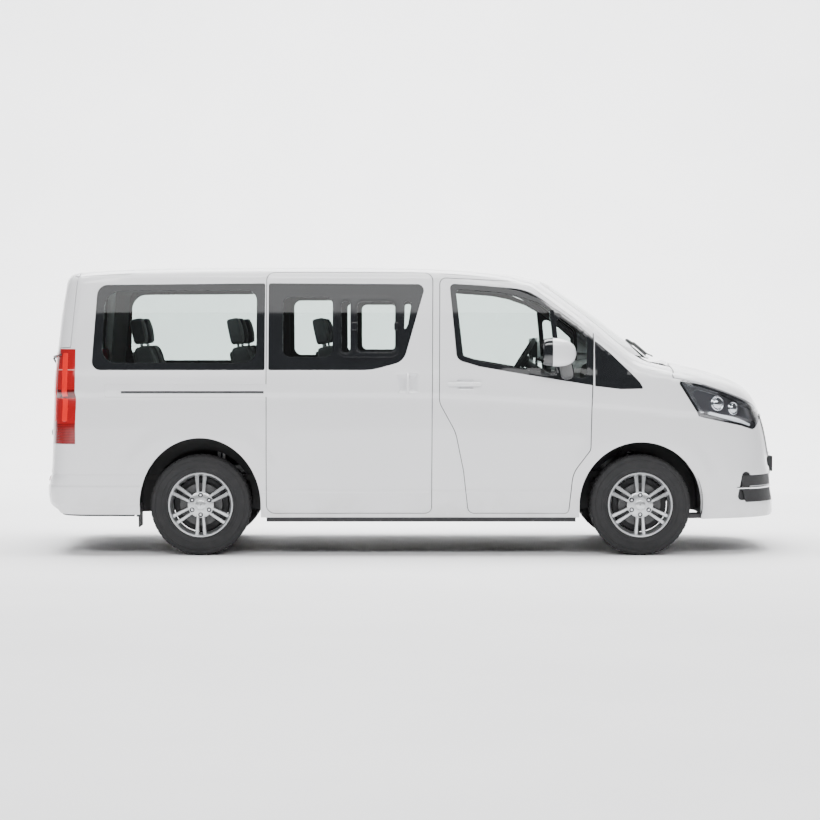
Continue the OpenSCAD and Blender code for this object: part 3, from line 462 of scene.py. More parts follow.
def rounded(points, turn=9.0):
    """A closed outline of (x, y, radius) points with its corners rounded."""
    out = []
    n = len(points)
    for i in range(n):
        here = Vector(points[i][:2])
        r = points[i][2] if len(points[i]) > 2 else 0
        a = (Vector(points[i - 1][:2]) - here).normalized()
        b = (Vector(points[(i + 1) % n][:2]) - here).normalized()
        half_turn = math.acos(max(-1, min(1, a.dot(b)))) / 2
        if not r or half_turn > 1.56:
            out.append(tuple(here))
            continue
        centre = here + (a + b).normalized() * r / math.sin(half_turn)
        start = here + a * r / math.tan(half_turn) - centre
        stop = here + b * r / math.tan(half_turn) - centre
        swing = math.atan2(start.x * stop.y - start.y * stop.x, start.dot(stop))
        steps = max(2, math.ceil(abs(math.degrees(swing)) / turn))
        first = math.atan2(start.y, start.x)
        for k in range(steps + 1):
            a_k = first + swing * k / steps
            out.append((centre.x + r * math.cos(a_k), centre.y + r * math.sin(a_k)))
    return out


def rect(x0, z0, x1, z1, r):
    """A rounded rectangle between two corners."""
    return rounded([(x0, z0, r), (x1, z0, r), (x1, z1, r), (x0, z1, r)])


def refined(loop, step):
    """A closed loop with no edge longer than a step."""
    loop = np.array(loop, dtype=float)
    out = []
    for a, b in zip(loop, np.roll(loop, -1, axis=0)):
        n = max(1, math.ceil(np.linalg.norm(b - a) / step))
        out += [a + (b - a) * k / n for k in range(n)]
    return np.array(out)


def grown(loop, by):
    """A closed loop moved outwards by a distance, or inwards."""
    loop = np.array(loop, dtype=float)
    keep = np.linalg.norm(loop - np.roll(loop, 1, axis=0), axis=1) > 1e-6
    loop = loop[keep]
    area = np.sum(loop[:, 0] * np.roll(loop[:, 1], -1) - np.roll(loop[:, 0], -1) * loop[:, 1])
    ahead = np.roll(loop, -1, axis=0) - loop
    ahead /= np.linalg.norm(ahead, axis=1)[:, None]
    normal = np.stack([ahead[:, 1], -ahead[:, 0]], axis=1) * (1 if area > 0 else -1)
    bisect = normal + np.roll(normal, 1, axis=0)
    bisect /= np.maximum(np.sum(bisect * normal, axis=1), 0.5)[:, None]
    return loop + bisect * by


def within(points, loop):
    """Which points lie inside a closed loop."""
    x, y = np.asarray(points, dtype=float).T
    inside = np.zeros(len(x), dtype=bool)
    for (x0, y0), (x1, y1) in zip(loop, np.roll(loop, -1, axis=0)):
        if y0 != y1:
            crosses = (y0 > y) != (y1 > y)
            inside ^= crosses & (x < (x1 - x0) * (y - y0) / (y1 - y0) + x0)
    return inside


def pressed(lift, outline, holes=(), depth=0.022, step=0.04, lines=None, bevel=0.0012, start=0.0):
    """A panel cut from the skin, with its edges turned in: points, faces and normals.
    lift puts flat points on the skin; lines are heights at which the panel needs detail."""
    loops = [refined(loop, step * 0.6) for loop in (outline, *holes)]
    low, high = loops[0].min(axis=0), loops[0].max(axis=0)
    columns = np.arange(low[0] + step / 2, high[0], step)
    rows = np.unique(np.concatenate([np.arange(low[1] + step / 2, high[1], step),
        lines if lines is not None else []]))
    grid = np.array([(x, y) for y in rows for x in columns])

    def kept(points):
        inside = within(points, loops[0])
        for hole in loops[1:]:
            inside &= ~within(points, hole)
        return inside

    rim = np.concatenate(loops)
    if len(grid):
        grid = grid[kept(grid)]
        near = [np.min(np.hypot(*(rim - g).T)) for g in grid]
        grid = grid[np.array(near) > step * 0.22] if len(grid) else grid
    flat = np.concatenate([rim, grid]) if len(grid) else rim
    edges = []
    base = 0
    for loop in loops:
        edges += [(base + i, base + (i + 1) % len(loop)) for i in range(len(loop))]
        base += len(loop)
    made = delaunay_2d_cdt([Vector(p) for p in flat], edges, [], 0, 1e-7)
    flat = np.array([tuple(v) for v in made[0]])
    faces = np.array([f for f in made[2] if len(f) == 3])
    faces = faces[kept(flat[faces].mean(axis=1))]
    a, b, c = (flat[faces[:, i]] for i in range(3))
    area = (b[:, 0] - a[:, 0]) * (c[:, 1] - a[:, 1]) - (b[:, 1] - a[:, 1]) * (c[:, 0] - a[:, 0])
    faces = [tuple(f) if s > 0 else tuple(f[::-1]) for f, s in zip(faces.tolist(), area)]
    # the turned-in edge
    count = {}
    for f in faces:
        for i in range(3):
            count[(f[i], f[(i + 1) % 3])] = True
    border = [e for e in count if (e[1], e[0]) not in count]
    out_way = {}
    for i, j in border:
        d = flat[j] - flat[i]
        normal = np.array([d[1], -d[0]]) / max(np.hypot(*d), 1e-9)
        for k in (i, j):
            out_way[k] = out_way.get(k, 0) + normal
    ids = sorted(out_way)
    ways = np.array([out_way[k] / max(np.hypot(*out_way[k]), 0.3) for k in ids])
    face_points, face_normals = lift(flat, start)
    edge_points, edge_normals = lift(flat[ids] + ways * bevel, start + bevel)
    deep_points = edge_points - edge_normals * (depth - bevel)
    sideways = edge_points - (face_points[:, ids] - face_normals[:, ids] * bevel)
    sideways /= np.maximum(np.linalg.norm(sideways, axis=0), 1e-9)
    n = len(flat)
    ring = {k: n + i for i, k in enumerate(ids)}
    deep = {k: n + len(ids) + i for i, k in enumerate(ids)}
    for i, j in border:
        faces.append((j, i, ring[i], ring[j]))
        faces.append((ring[j], ring[i], deep[i], deep[j]))
    points = np.concatenate([face_points, edge_points, deep_points], axis=1).T
    normals = np.concatenate([face_normals, sideways, sideways], axis=1).T
    return points, faces, normals


def fixed_piece(name, mesh, material, body, replaces=()):
    """A piece that rides on one body and may stand for some of the frame's nodes."""
    thing = stand(name, mesh, material)
    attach(thing, body)
    if replaces:
        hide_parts(*replaces)
    return thing


def panel(name, made, material, body, side="right", replaces=()):
    """One panel, or its mirror image for the left."""
    points, faces, normals = made
    if side == "left":
        points, normals = points * (1, -1, 1), normals * (1, -1, 1)
        faces = [f[::-1] for f in faces]
    return fixed_piece(name, make_mesh(name, points, faces, normals), material, body, replaces)


both = ("right", "left")


def shared(node, side):
    """A node that holds both sides is replaced once, by the right side's piece."""
    return [node] if side == "right" else []


def side_loop(points, step=0.03):
    """A closed side-view outline, laid on the unrolled wall."""
    loop = refined(points, step)
    return np.stack([run_at(loop[:, 0], loop[:, 1]), loop[:, 1]], axis=1)


def shoulder(u):
    """The height at which walls and top would meet, for places along the run."""
    low, high = np.full(len(u), belt_z - 0.45), np.full(len(u), roof_z + 0.03)
    for _ in range(28):
        z = (low + high) / 2
        over = top_gap(*side_start(u, z)[0]) > 0
        high = np.where(over, z, high)
        low = np.where(over, low, z)
    return z


def top_edge(u, inset):
    """Plan points along the shoulder, a little way in from the walls."""
    z = shoulder(u)
    start, way = side_start(u, z)
    return (start - way * inset)[:2].T


def body_part(name, patches, material, body, side="right", replaces=()):
    """A pressing made of patches of the skin that run into each other."""
    points, faces, normals = [], [], []
    base = 0
    for patch in patches:
        p, f, n = pressed(*patch[:3], **(patch[3] if len(patch) > 3 else {}))
        points.append(p)
        normals.append(n)
        faces += [tuple(base + i for i in face) for face in f]
        base += len(p)
    made = np.concatenate(points), faces, np.concatenate(normals)
    return panel(name, made, material, body, side, replaces)


def sheet(name, lift, outline, holes, material, body, slot="body_paint", side="right", replaces=(),
    **shape):
    """A pressing of a single patch."""
    body_part(name, [(lift, outline, holes, shape)], material, body, side, replaces)


def oval(x, z, a, b, n=48, start=0.0, turn=360.0):
    angles = np.radians(start + turn * np.arange(n + (turn < 360)) / n)
    return [(x + a * math.cos(t), z + b * math.sin(t)) for t in angles]


def arch(x, r, h):
    """The cut over a wheel, with straight sides down to the ground."""
    return oval(x, axle_z, r, h, 60, 0, 180) + [(x - r, 0.0), (x + r, 0.0)]


# ---- Body sides ----------------------------------------------------------------------
# One steel pressing a side, from the windscreen pillar to the tail, with the openings for
# doors and window cut out, painted white under clear coat. The slide rail of the side
# door is let into it behind the door, level with the shoulder line.

gap = 0.007
seam = 0.010  # the top panels meet the walls this far under and inside their crest
far = 0.3  # cuts run out past the body by this much
slide_lo, slide_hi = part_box("sliding_door_right")
door_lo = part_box("front_door_right")[0]
slide_x0, slide_x1 = slide_lo[0], slide_hi[0] - 0.009
door_x0, door_x1 = door_lo[0], front_x - 0.336
door_bottom_z, door_top_z = slide_lo[2], roof_z - 0.058
side_rows = np.concatenate([np.arange(sill_z + 0.158, sill_z + 0.21, 0.006),
    np.arange(belt_z - 0.31, belt_z - 0.14, 0.0085)])

shade, shader, white_paint = finish(
    "white_paint", Roughness=0.42, Coat_Weight=1.0, Coat_Roughness=0.035, Specular_IOR_Level=0.35)
spot = place(shade)
height = spot.node("ShaderNodeSeparateXYZ", None, {"Vector": spot}, out=2)
film = (1 - height.between(0.26, 0.52)) * noise(shade, 6.0, 5.0).between(0.35, 0.75) * 0.35
batch = noise(shade, 0.9).between(0.35, 0.65).mix((0.742, 0.744, 0.762), (0.757, 0.759, 0.776))
road = shade.node("ShaderNodeMix", {"data_type": "RGBA"}, {0: film, 6: batch, 7: (0.50, 0.485, 0.46, 1)},
    out=2)
peel = noise(shade, 420.0, 1.0) + noise(shade, 38.0, 2.0) * 0.8
vary(shade, shader, Base_Color=road, Roughness=0.40 + film * 0.5, Normal=bump(shade, peel, 0.05, 0.0006))

slide_outline = rounded([
    (slide_x0, door_bottom_z, 0.06), (slide_x1, door_bottom_z, 0.045),
    (slide_x1 + 0.010, door_top_z - 0.004, 0.055), (slide_x0, door_top_z, 0.055)])
door_outline = rounded([(door_x0 + 0.004, roof_z - 0.097, 0.04), (door_x0, belt_z - 0.230, 0.12),
    (door_x0 + 0.115, belt_z - 0.440, 0.26), (door_x0 + 0.172, 0.600, 0.30),
    (door_x0 + 0.205, door_bottom_z, 0.045), (door_x1 - 0.180, door_bottom_z, 0.028),
    (door_x1 - 0.149, 0.590, 0.20), (door_x1 - 0.024, 0.755, 0.06),
    (door_x1 + 0.001, belt_z + 0.300, 0.066), (front_x - 0.780, roof_z - 0.128, 0.50)])
quarter_outline = rounded([
    (tail + 0.360, belt_z, 0.06), (slide_x0 - gap - 0.008, belt_z, 0.012),
    (slide_x0 - gap - 0.008, window_top_z, 0.012), (tail + 0.398, window_top_z - 0.012, 0.075)])
rail_outline = rounded([
    (slide_x0 - 1.150, belt_z - 0.194, 0.016), (slide_x0 - gap + 0.05, belt_z - 0.194),
    (slide_x0 - gap + 0.05, belt_z - 0.099), (slide_x0 - 1.150, belt_z - 0.099, 0.016)])
slot_outline = rounded([
    (slide_x0 - 1.033, belt_z - 0.170, 0.003), (slide_x0 - 0.02, belt_z - 0.170),
    (slide_x0 - 0.02, belt_z - 0.148), (slide_x0 - 1.033, belt_z - 0.148, 0.003)])
glass_plan = rounded([(front_x - 0.655, 0.0), (front_x - 0.700, -half + 0.350, 0.05),
    (front_x - 0.400, -half + 0.290, 0.6), (front_x - 0.060, -half + 0.185, 0.07),
    (front_x + 0.104, -0.440, 0.4), (front_x + 0.150, 0.0), (front_x + 0.104, 0.440, 0.4),
    (front_x - 0.060, half - 0.185, 0.07), (front_x - 0.400, half - 0.290, 0.6),
    (front_x - 0.700, half - 0.350, 0.05)])
# the same edge seen from the side, closed far in front
glass_side = on_top([p for p in refined(glass_plan, 0.03) if p[1] < -0.42 and p[0] > front_x - 0.71])[0]
order = np.argsort(glass_side[0])
glass_side = [(x, z) for x, z in zip(glass_side[0][order], glass_side[2][order])]
glass_side = glass_side + [(nose + far, glass_side[-1][1]), (nose + far, roof_z + 0.3),
    (glass_side[0][0], roof_z + 0.3)]
lamp_top_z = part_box("tail_lamps")[1][2]
lamp_bottom_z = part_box("tail_lamps")[0][2]
tail_lamp_x = tail + 0.246
tail_lamp_y = half - 0.155
lamp_seam_y = tail_lamp_y + 0.002
rear_bumper_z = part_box("rear_bumper")[1][2]
gate_side = [
    (tail - far, lamp_top_z + 0.012), (tail + 0.204, lamp_top_z + 0.012), (tail + 0.246, roof_z - 0.105),
    (tail + 0.266, roof_z + 0.1), (tail - far, roof_z + 0.1)]
rear_arch = arch(rear_x, 0.432, 0.480)
front_arch = arch(front_x, 0.436, 0.450)
wing_area = [
    (door_x1 - 0.170, -0.1), (nose + 0.1, -0.1), (nose + 0.1, roof_z), (front_x - 0.175, roof_z),
    (front_x - 0.175, belt_z + 0.11), (door_x1 - 0.060, belt_z + 0.11), (door_x1 - 0.170, 0.7)]

gate_side_u = run_of(run_back, lamp_seam_y, lamp_bottom_z)
side_front_x = 1.5
u_line = np.linspace(gate_side_u, side_front_x, 90)
side_outline = [(u_line[0], sill_z), (side_front_x, sill_z)] + [(u, z - seam)
    for u, z in zip(u_line, shoulder(u_line))][::-1]
side_holes = [side_loop(loop) for loop in (grown(slide_outline, gap), grown(door_outline, gap),
    grown(quarter_outline, 0.002), rear_arch, wing_area,
    [(tail - far, 0.0), (rear_x, 0.0), (rear_x, rear_bumper_z), (tail - far, rear_bumper_z)],
    [(tail - far, lamp_bottom_z), (tail_lamp_x, lamp_bottom_z), (tail_lamp_x, lamp_top_z),
    (tail - far, lamp_top_z)], grown(gate_side, gap), glass_side, rail_outline)]
for side in both:
    body_part(f"body_side_{side}", [(on_side, side_outline, side_holes, {"lines": side_rows}),
        (on_side, side_loop(grown(rail_outline, -0.0015)), [side_loop(slot_outline)],
        {"start": 0.0035, "depth": 0.02})], white_paint, "body", side=side, replaces=[f"side_panel_{side}"])

dark_metal = mottled("slide_rail_steel", 60.0, (0.02, 0.02, 0.022), (0.07, 0.07, 0.075),
    (300.0, 0.2, 0.001), Metallic=0.9, Roughness=0.45)
for side in both:
    sheet(f"slide_rail_{side}", on_side, side_loop(grown(slot_outline, 0.004)), [], dark_metal, "body",
        "chassis_metal", side, start=0.017, depth=0.026)

# ---- Roof ----------------------------------------------------------------------------
# A single crowned panel welded to the sides, with five shallow swages along it that stop
# it from drumming. It is painted with the body.

u_top = np.linspace(tail_arc_x - tail_run * 0.95, nose_arc_x + nose_run * 0.35, 110)
edge = top_edge(u_top, seam)
edge = edge[edge[:, 0] < front_x - 0.02]
roof_outline = [tuple(p) for p in edge] + [(x, -y) for x, y in edge[::-1]]
gate_hinge_x = tail + 0.262
gate_top = [(tail - far, -1.2), (gate_hinge_x, -1.2), (gate_hinge_x, 1.2), (tail - far, 1.2)]


def on_roof(points, depth=0.0):
    """The top of the body with the swages pressed into the roof."""
    skin, normal = on_top(points, depth)
    x, y = np.array(points, dtype=float).T
    along = step_up(x, tail + 0.50, tail + 0.60) * (1 - step_up(x, front_x - 1.45, front_x - 1.35))
    pitch, deep, h = 0.23, 0.004, 0.002

    def swage(y):
        return step_up(np.cos(2 * math.pi * y / pitch), 0.55, 0.95)

    skin[2] -= deep * swage(y) * along * (np.abs(y) < 0.6)
    slope = deep * along * (np.abs(y) < 0.6) * (swage(y + h) - swage(y - h)) / (2 * h)
    normal = normal + np.array([0 * x, slope, 0 * x])
    return skin, normal / np.linalg.norm(normal, axis=0)


sheet("roof", on_roof, roof_outline, [grown(glass_plan, 0.002), grown(gate_top, gap)], white_paint, "body",
    replaces=["roof_panel"], lines=np.arange(-0.66, 0.66, 0.0115), step=0.05)

# ---- Front wings ---------------------------------------------------------------------
# Bolted-on pressings round the front wheels, reaching back under the door's leading edge
# and up to the windscreen. A gloss black corner plate carries the window line forward.

bonnet_rear_x = front_x + 0.240
wing_rear_x = bonnet_rear_x - 0.014
bonnet_line = [
    (front_x + 0.254, belt_z - 0.062), (nose - 0.620, belt_z - 0.094), (nose - 0.440, belt_z - 0.152),
    (nose - 0.258, belt_z - 0.220), (nose - 0.170, belt_z - 0.270), (nose + 0.1, belt_z - 0.290)]
bonnet_side = [(wing_rear_x, roof_z), (wing_rear_x, belt_z - 0.060)] + bonnet_line + [(nose + 0.1, roof_z)]
bumper_edge = rounded([(front_x + 0.200, -0.1), (front_x + 0.200, 0.600), (front_x + 0.343, 0.660),
    (front_x + 0.398, 0.688, 0.05), (front_x + 0.434, 0.720, 0.05), (front_x + 0.446, 0.800, 0.15),
    (front_x + 0.440, 0.896, 0.15), (nose - 0.623, 0.988), (nose - 0.600, belt_z - 0.065),
    (nose + 0.1, belt_z - 0.065), (nose + 0.1, -0.1)])
lamp_outline = rounded([(nose - 0.618, 0.990, 0.02), (nose - 0.786, belt_z - 0.065, 0.02),
    (nose - 0.620, belt_z - 0.101), (nose - 0.440, belt_z - 0.159), (nose - 0.258, belt_z - 0.227),
    (nose - 0.125, belt_z - 0.280, 0.02), (nose - 0.112, 1.000, 0.02), (nose - 0.195, 0.885, 0.04),
    (nose - 0.301, 0.921, 0.03)])

u_wing = np.linspace(door_x1 - 0.2, nose_arc_x + nose_run * 0.75, 70)
wing_outline = [(u, z - seam) for u, z in zip(u_wing, shoulder(u_wing))]
wing_outline += [(u_wing[-1], sill_z), (u_wing[0], sill_z)]
behind_wing = [(door_x1 - 0.170, 0.7), (door_x1 - 0.060, belt_z + 0.11), (front_x - 0.175, belt_z + 0.11),
    (front_x - 0.175, roof_z), (door_x1 - 0.4, roof_z), (door_x1 - 0.4, -0.1), (door_x1 - 0.170, -0.1)]
wing_holes = [side_loop(loop) for loop in (grown(door_outline, gap + 0.001), front_arch, bumper_edge,
    grown(lamp_outline, 0.003), bonnet_side, glass_side, behind_wing)]
edge = top_edge(np.linspace(1.3, nose_arc_x + nose_run * 0.5, 50), seam)
edge = edge[edge[:, 0] < bonnet_rear_x + 0.05]
strip = [tuple(p) for p in edge] + [(wing_rear_x, -0.748), (front_x - 0.12, -0.748), (edge[0][0], -0.70)]
corner_plate = rounded([(door_x1 + 0.0095, 1.5260, 0.004), (front_x - 0.288, 1.4985),
    (front_x - 0.218, 1.439), (front_x - 0.147, 1.370), (front_x - 0.076, 1.303), (front_x - 0.010, 1.232),
    (front_x + 0.016, 1.188, 0.008), (front_x - 0.150, 1.186), (front_x - 0.292, 1.203),
    (door_x1 + 0.0095, 1.2075, 0.004)])

shade, shader, gloss_black = finish("gloss_black", Roughness=0.06, IOR=1.8)
vary(shade, shader, Base_Color=noise(shade, 9.0).mix((0.006, 0.007, 0.008), (0.011, 0.012, 0.014)),
     Roughness=0.035 + noise(shade, 14.0, 5.0).between(0.5, 0.8) * 0.05)
for side in both:
    body_part(f"wing_{side}", [(on_side, wing_outline, wing_holes, {"lines": side_rows}),
        (on_top, strip, [glass_plan, [(wing_rear_x, -2), (bonnet_rear_x + 1, -2), (bonnet_rear_x + 1, 2),
        (wing_rear_x, 2)]])], white_paint, "body", side=side, replaces=[f"wing_{side}"])
    sheet(f"window_corner_{side}", on_side, side_loop(corner_plate), [], gloss_black, "body",
        "black_plastic", side, start=-0.0015, depth=0.01)

# ---- Bonnet --------------------------------------------------------------------------
# A short pressed lid hinged at its rear corners, rolled over at the front and down to the
# headlamps, with two soft creases running forward. Its inner panel is a darker primer coat.

low_x = np.linspace(bonnet_rear_x, nose - 0.09, 90)
low_z = np.interp(low_x, [p[0] for p in bonnet_line], [p[1] for p in bonnet_line]) + gap
low_u = run_at(low_x, low_z)
centre_u = nose_arc_x + nose_run
low_line = [(u, z) for u, z in zip(low_u, low_z) if u < centre_u - 0.01]
high_u = np.linspace(low_line[0][0], 2 * centre_u - low_line[0][0], 150)
high_line = [(u, z - seam) for u, z in zip(high_u, shoulder(high_u))]
band = low_line + [(2 * centre_u - u, z) for u, z in low_line[::-1]] + high_line[::-1]
edge = top_edge(high_u, seam)
bonnet_top = [tuple(p) for p in edge[edge[:, 0] > bonnet_rear_x + 0.004]]
bonnet_top = [(bonnet_rear_x, bonnet_top[0][1])] + bonnet_top + [(bonnet_rear_x, bonnet_top[-1][1])]


def on_bonnet(points, depth=0.0):
    """The top of the body with the bonnet's two creases raised in it."""
    skin, normal = on_top(points, depth)
    x, y = np.array(points, dtype=float).T
    away = np.abs(y) - 0.50 + 0.10 * (x - bonnet_rear_x)
    fade = 1 - step_up(x, nose - 0.34, nose - 0.20)
    high, h = 0.007, 0.002

    def crease(away):
        return step_up(away, -0.16, 0.0) - step_up(away, 0.0, 0.035)

    rise = high * fade * crease(away)
    slope = high * fade * (crease(away + h) - crease(away - h)) / (2 * h)
    skin[2] += rise - high * fade * 0.2
    normal = normal + np.array([0 * x, -slope * np.sign(y), 0 * x])
    return skin, normal / np.linalg.norm(normal, axis=0)


body_part(
    "bonnet",
    [(on_bonnet, bonnet_top, [], {"step": 0.03}),
     (on_side, band, [], {"step": 0.03})],
    white_paint, "bonnet", replaces=["bonnet"])
primer = mottled("bonnet_primer", 12.0, (0.42, 0.42, 0.43), (0.55, 0.55, 0.56), (200.0, 0.1, 0.001),
    Roughness=0.5)
inner = [tuple(p) for p in grown(bonnet_top, -0.05)]
ribs = [rounded([(bonnet_rear_x + 0.10, y0, 0.04), (bonnet_rear_x + 0.44, y0 * 0.92, 0.04),
                 (bonnet_rear_x + 0.44, y1 * 0.92, 0.04), (bonnet_rear_x + 0.10, y1, 0.04)])
        for y0, y1 in ((-0.62, -0.36), (-0.30, -0.04), (0.04, 0.30), (0.36, 0.62))]
sheet("bonnet_inner", on_top, inner, ribs, primer, "bonnet", start=0.024, depth=0.006)
sheet("bonnet_inner_web", on_top, grown(inner, -0.02), [], primer, "bonnet", start=0.016, depth=0.004)

# ---- Front bumper --------------------------------------------------------------------
# A moulded cover from wheel arch to wheel arch, painted with the body, with a grained
# black lower part, an air intake, fog lamp bezels in its corners and a bright strip.

intake = rounded([(-0.43, 0.375, 0.03), (0.43, 0.375, 0.03), (0.47, 0.560, 0.04), (-0.47, 0.560, 0.04)])
grille_lo, grille_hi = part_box("grille")
grille_outline = rounded([(-0.500, grille_lo[2], 0.04), (0.500, grille_lo[2], 0.04),
    (0.560, grille_hi[2], 0.04), (-0.560, grille_hi[2], 0.04)])


def front_loop(points, step=0.03):
    """A closed front-view outline (y, z), laid on the unrolled nose."""
    loop = refined(points, step)
    u = run_front(loop[:, 0], loop[:, 1])
    return np.stack([np.where(loop[:, 0] > 0, 2 * centre_u - u, u), loop[:, 1]], axis=1)


def other_side(loop):
    """A wall outline on the right, laid on the left as well."""
    return [(2 * centre_u - u, z) for u, z in loop]


def across_nose(y, z, depth, count):
    """Skin points from a width on the right of the nose to the same on the left."""
    u = run_of(run_front, y, z)
    return [skin_point(u, z, depth) for u in np.linspace(u, 2 * centre_u - u, count)]


start_u = run_of(run_at, front_x + 0.200, 0.5)
full = [(start_u, sill_z - 0.014), (2 * centre_u - start_u, sill_z - 0.014), (2 * centre_u - start_u, 1.10),
    (start_u, 1.10)]
wing_part = [side_loop([(front_x - 0.3, 0.0)] + [p for p in bumper_edge[1:]
    if p[0] < nose - 0.5][:-1] + [(nose - 0.600, belt_z + 0.2), (front_x - 0.3, belt_z + 0.2)])]
fog_outline = rounded([(front_x + 0.700, 0.385, 0.03), (front_x + 0.800, 0.385, 0.04),
    (front_x + 0.815, 0.600, 0.04), (front_x + 0.742, 0.585, 0.03)])
fog_loop = side_loop(fog_outline, 0.02)
bumper_holes = [front_loop(intake), front_loop(grille_outline)]
for loop in wing_part + [side_loop(front_arch), side_loop(grown(lamp_outline, 0.003)), fog_loop]:
    bumper_holes += [loop, other_side(loop)]
low_line = low_line[:-1]
bonnet_front = [(u, z - gap * 2) for u, z in low_line] + [(2 * centre_u - u, z - gap * 2)
    for u, z in low_line[::-1]]
bonnet_front += [(bonnet_front[-1][0], 1.6), (bonnet_front[0][0], 1.6)]
bumper_holes.append(refined(bonnet_front, 0.03))
bumper_rows = np.concatenate([np.arange(sill_z, 0.38, 0.012), np.arange(0.56, 0.68, 0.012)])


def on_bumper(points, depth=0.0):
    """The nose wall with the bumper's lower lip and number-plate shelf drawn out of it."""
    u, z = np.array(points, dtype=float).T
    skin, normal = on_side(points, depth)
    front = step_up(np.abs(u - centre_u), 1.9, 1.1)
    press = -0.010 * step_up(z, 0.60, 0.63) * (1 - step_up(z, 0.665, 0.70)) - 0.012 * (
        1 - step_up(z, 0.345, 0.37)) * 0.5
    push = press * np.clip(front, 0, 1)
    return skin + normal * push, normal


sheet("front_bumper", on_bumper, refined(full, 0.03), bumper_holes, white_paint, "body",
    replaces=["front_bumper"], lines=bumper_rows, depth=0.03)


def solid_bar(path, section, closed=False, up=(0, 0, 1)):
    """A bar of a closed section, (across, up) points, swept along a path of 3-D points."""
    path = [Vector(p) for p in path]
    n, m = len(path), len(section)
    points = []
    for i, here in enumerate(path):
        ahead = path[(i + 1) % n] if closed or i < n - 1 else here
        behind = path[i - 1] if closed or i > 0 else here
        t = (ahead - behind).normalized()
        a = t.cross(Vector(up)).normalized()
        b = a.cross(t)
        points += [here + a * s + b * r for s, r in section]
    faces = []
    for i in range(n if closed else n - 1):
        for k in range(m):
            faces.append((i * m + k, i * m + (k + 1) % m, (i + 1) % n * m + (k + 1) % m,
                (i + 1) % n * m + k))
    if not closed:
        faces += [tuple(range(m))[::-1], tuple((n - 1) * m + k for k in range(m))]
    return points, faces


def slab(half_wide, half_thick, top_wide=None):
    """A flat section, narrower or wider at its top if that is given."""
    top = half_wide if top_wide is None else top_wide
    return [(-half_wide, -half_thick), (half_wide, -half_thick), (top, half_thick), (-top, half_thick)]


def ridge(back, back_half, fore, fore_half, crest):
    """A section whose front comes to a blunt edge."""
    return [(-back, -back_half), (fore, -fore_half), (crest, 0.0), (fore, fore_half), (-back, back_half)]


def joined(*parts):
    """Several (points, faces) as one."""
    points, faces = [], []
    for p, f in parts:
        faces += [tuple(len(points) + i for i in face) for face in f]
        points += [tuple(q) for q in p]
    return points, faces


def mirrored(part):
    """The same part on the left side."""
    return [(x, -y, z) for x, y, z in part[0]], [f[::-1] for f in part[1]]


def moulding(name, part, material, body, side="right", bevel=0.0, subdivide=0, replaces=(), flat=35):
    """A solid moulding, its sharp edges eased if a bevel is given."""
    if side == "left":
        part = mirrored(part)
    thing = fixed_piece(name, make_mesh(name, *part), material, body, replaces)
    thing.data.set_sharp_from_angle(angle=math.radians(flat))
    if bevel:
        ease = thing.modifiers.new("ease", "BEVEL")
        ease.width = bevel
        ease.segments = 2
        ease.limit_method = "ANGLE"
        ease.angle_limit = math.radians(flat)
        ease.harden_normals = True
    if subdivide:
        smooth = thing.modifiers.new("smooth", "SUBSURF")
        smooth.levels = smooth.render_levels = subdivide
    return thing


def block(lo, hi):
    """A box between two corners."""
    points = [(x, y, z) for x in (lo[0], hi[0]) for y in (lo[1], hi[1]) for z in (lo[2], hi[2])]
    return points, [(0, 1, 3, 2), (4, 6, 7, 5), (0, 4, 5, 1), (2, 3, 7, 6), (0, 2, 6, 4), (1, 5, 7, 3)]


def round_bar(path, r, n=12, closed=False, up=(0, 0, 1)):
    return solid_bar(path, [(r * math.cos(a), r * math.sin(a)) for a in np.arange(n) * 2 * math.pi / n],
        closed, up)


def skin_point(u, z, depth=0.0):
    return Vector(on_side([(u, z)], depth)[0][:, 0])


def skin_normal(u, z):
    return Vector(on_side([(u, z)])[1][:, 0])


shade, shader, black_grain = finish("black_grain", Roughness=0.55, Specular_IOR_Level=0.4)
grain = shade.node("ShaderNodeTexVoronoi", {"feature": "F1"}, {"Vector": place(shade), "Scale": 900.0})
vary(shade, shader, Base_Color=noise(shade, 20.0).mix((0.014, 0.014, 0.015), (0.024, 0.024, 0.026)),
     Roughness=0.45 + noise(shade, 8.0, 4.0) * 0.2, Normal=bump(shade, grain, 0.25, 0.0004))
shade, shader, silver_trim = finish("silver_trim", Metallic=1.0, Roughness=0.16)
vary(shade, shader, Base_Color=noise(shade, 30.0).mix((0.72, 0.73, 0.75), (0.80, 0.81, 0.83)),
    Roughness=0.10 + noise(shade, 60.0) * 0.08)

# the plate's flat seat stays bare; grained panels close the bumper's lower edge and intake
u_low = np.linspace(start_u + 0.005, 2 * centre_u - start_u - 0.005, 120)
chin = [(u, sill_z - 0.012) for u in u_low] + [(u, sill_z + 0.018) for u in u_low[::-1]]
sheet("bumper_lower_edge", on_bumper, chin, [], black_grain, "body", "black_plastic", start=0.012,
    depth=0.05)
sheet("air_intake_liner", on_side, front_loop(grown(intake, 0.012)), [], black_grain, "body",
    "black_plastic", start=0.055, depth=0.01)
slats = []
for z in np.arange(0.405, 0.55, 0.034):
    slats.append(solid_bar(across_nose(0.455, z, 0.030, 24), ridge(0.016, 0.004, 0.004, 0.007, 0.012)))
moulding("air_intake_slats", joined(*slats), black_grain, "body")
plate_z = 0.620
seat_box = block((nose - 0.062, -0.262, plate_z - 0.057), (nose - 0.0035, 0.262, plate_z + 0.057))
moulding("front_plate_holder", seat_box, black_grain, "body", bevel=0.005)
strip_u = run_of(run_front, 0.475, 0.565)
rim_bar = [skin_point(u, 0.565 + 0.004, -0.002) for u in np.linspace(strip_u, 2 * centre_u - strip_u, 40)]
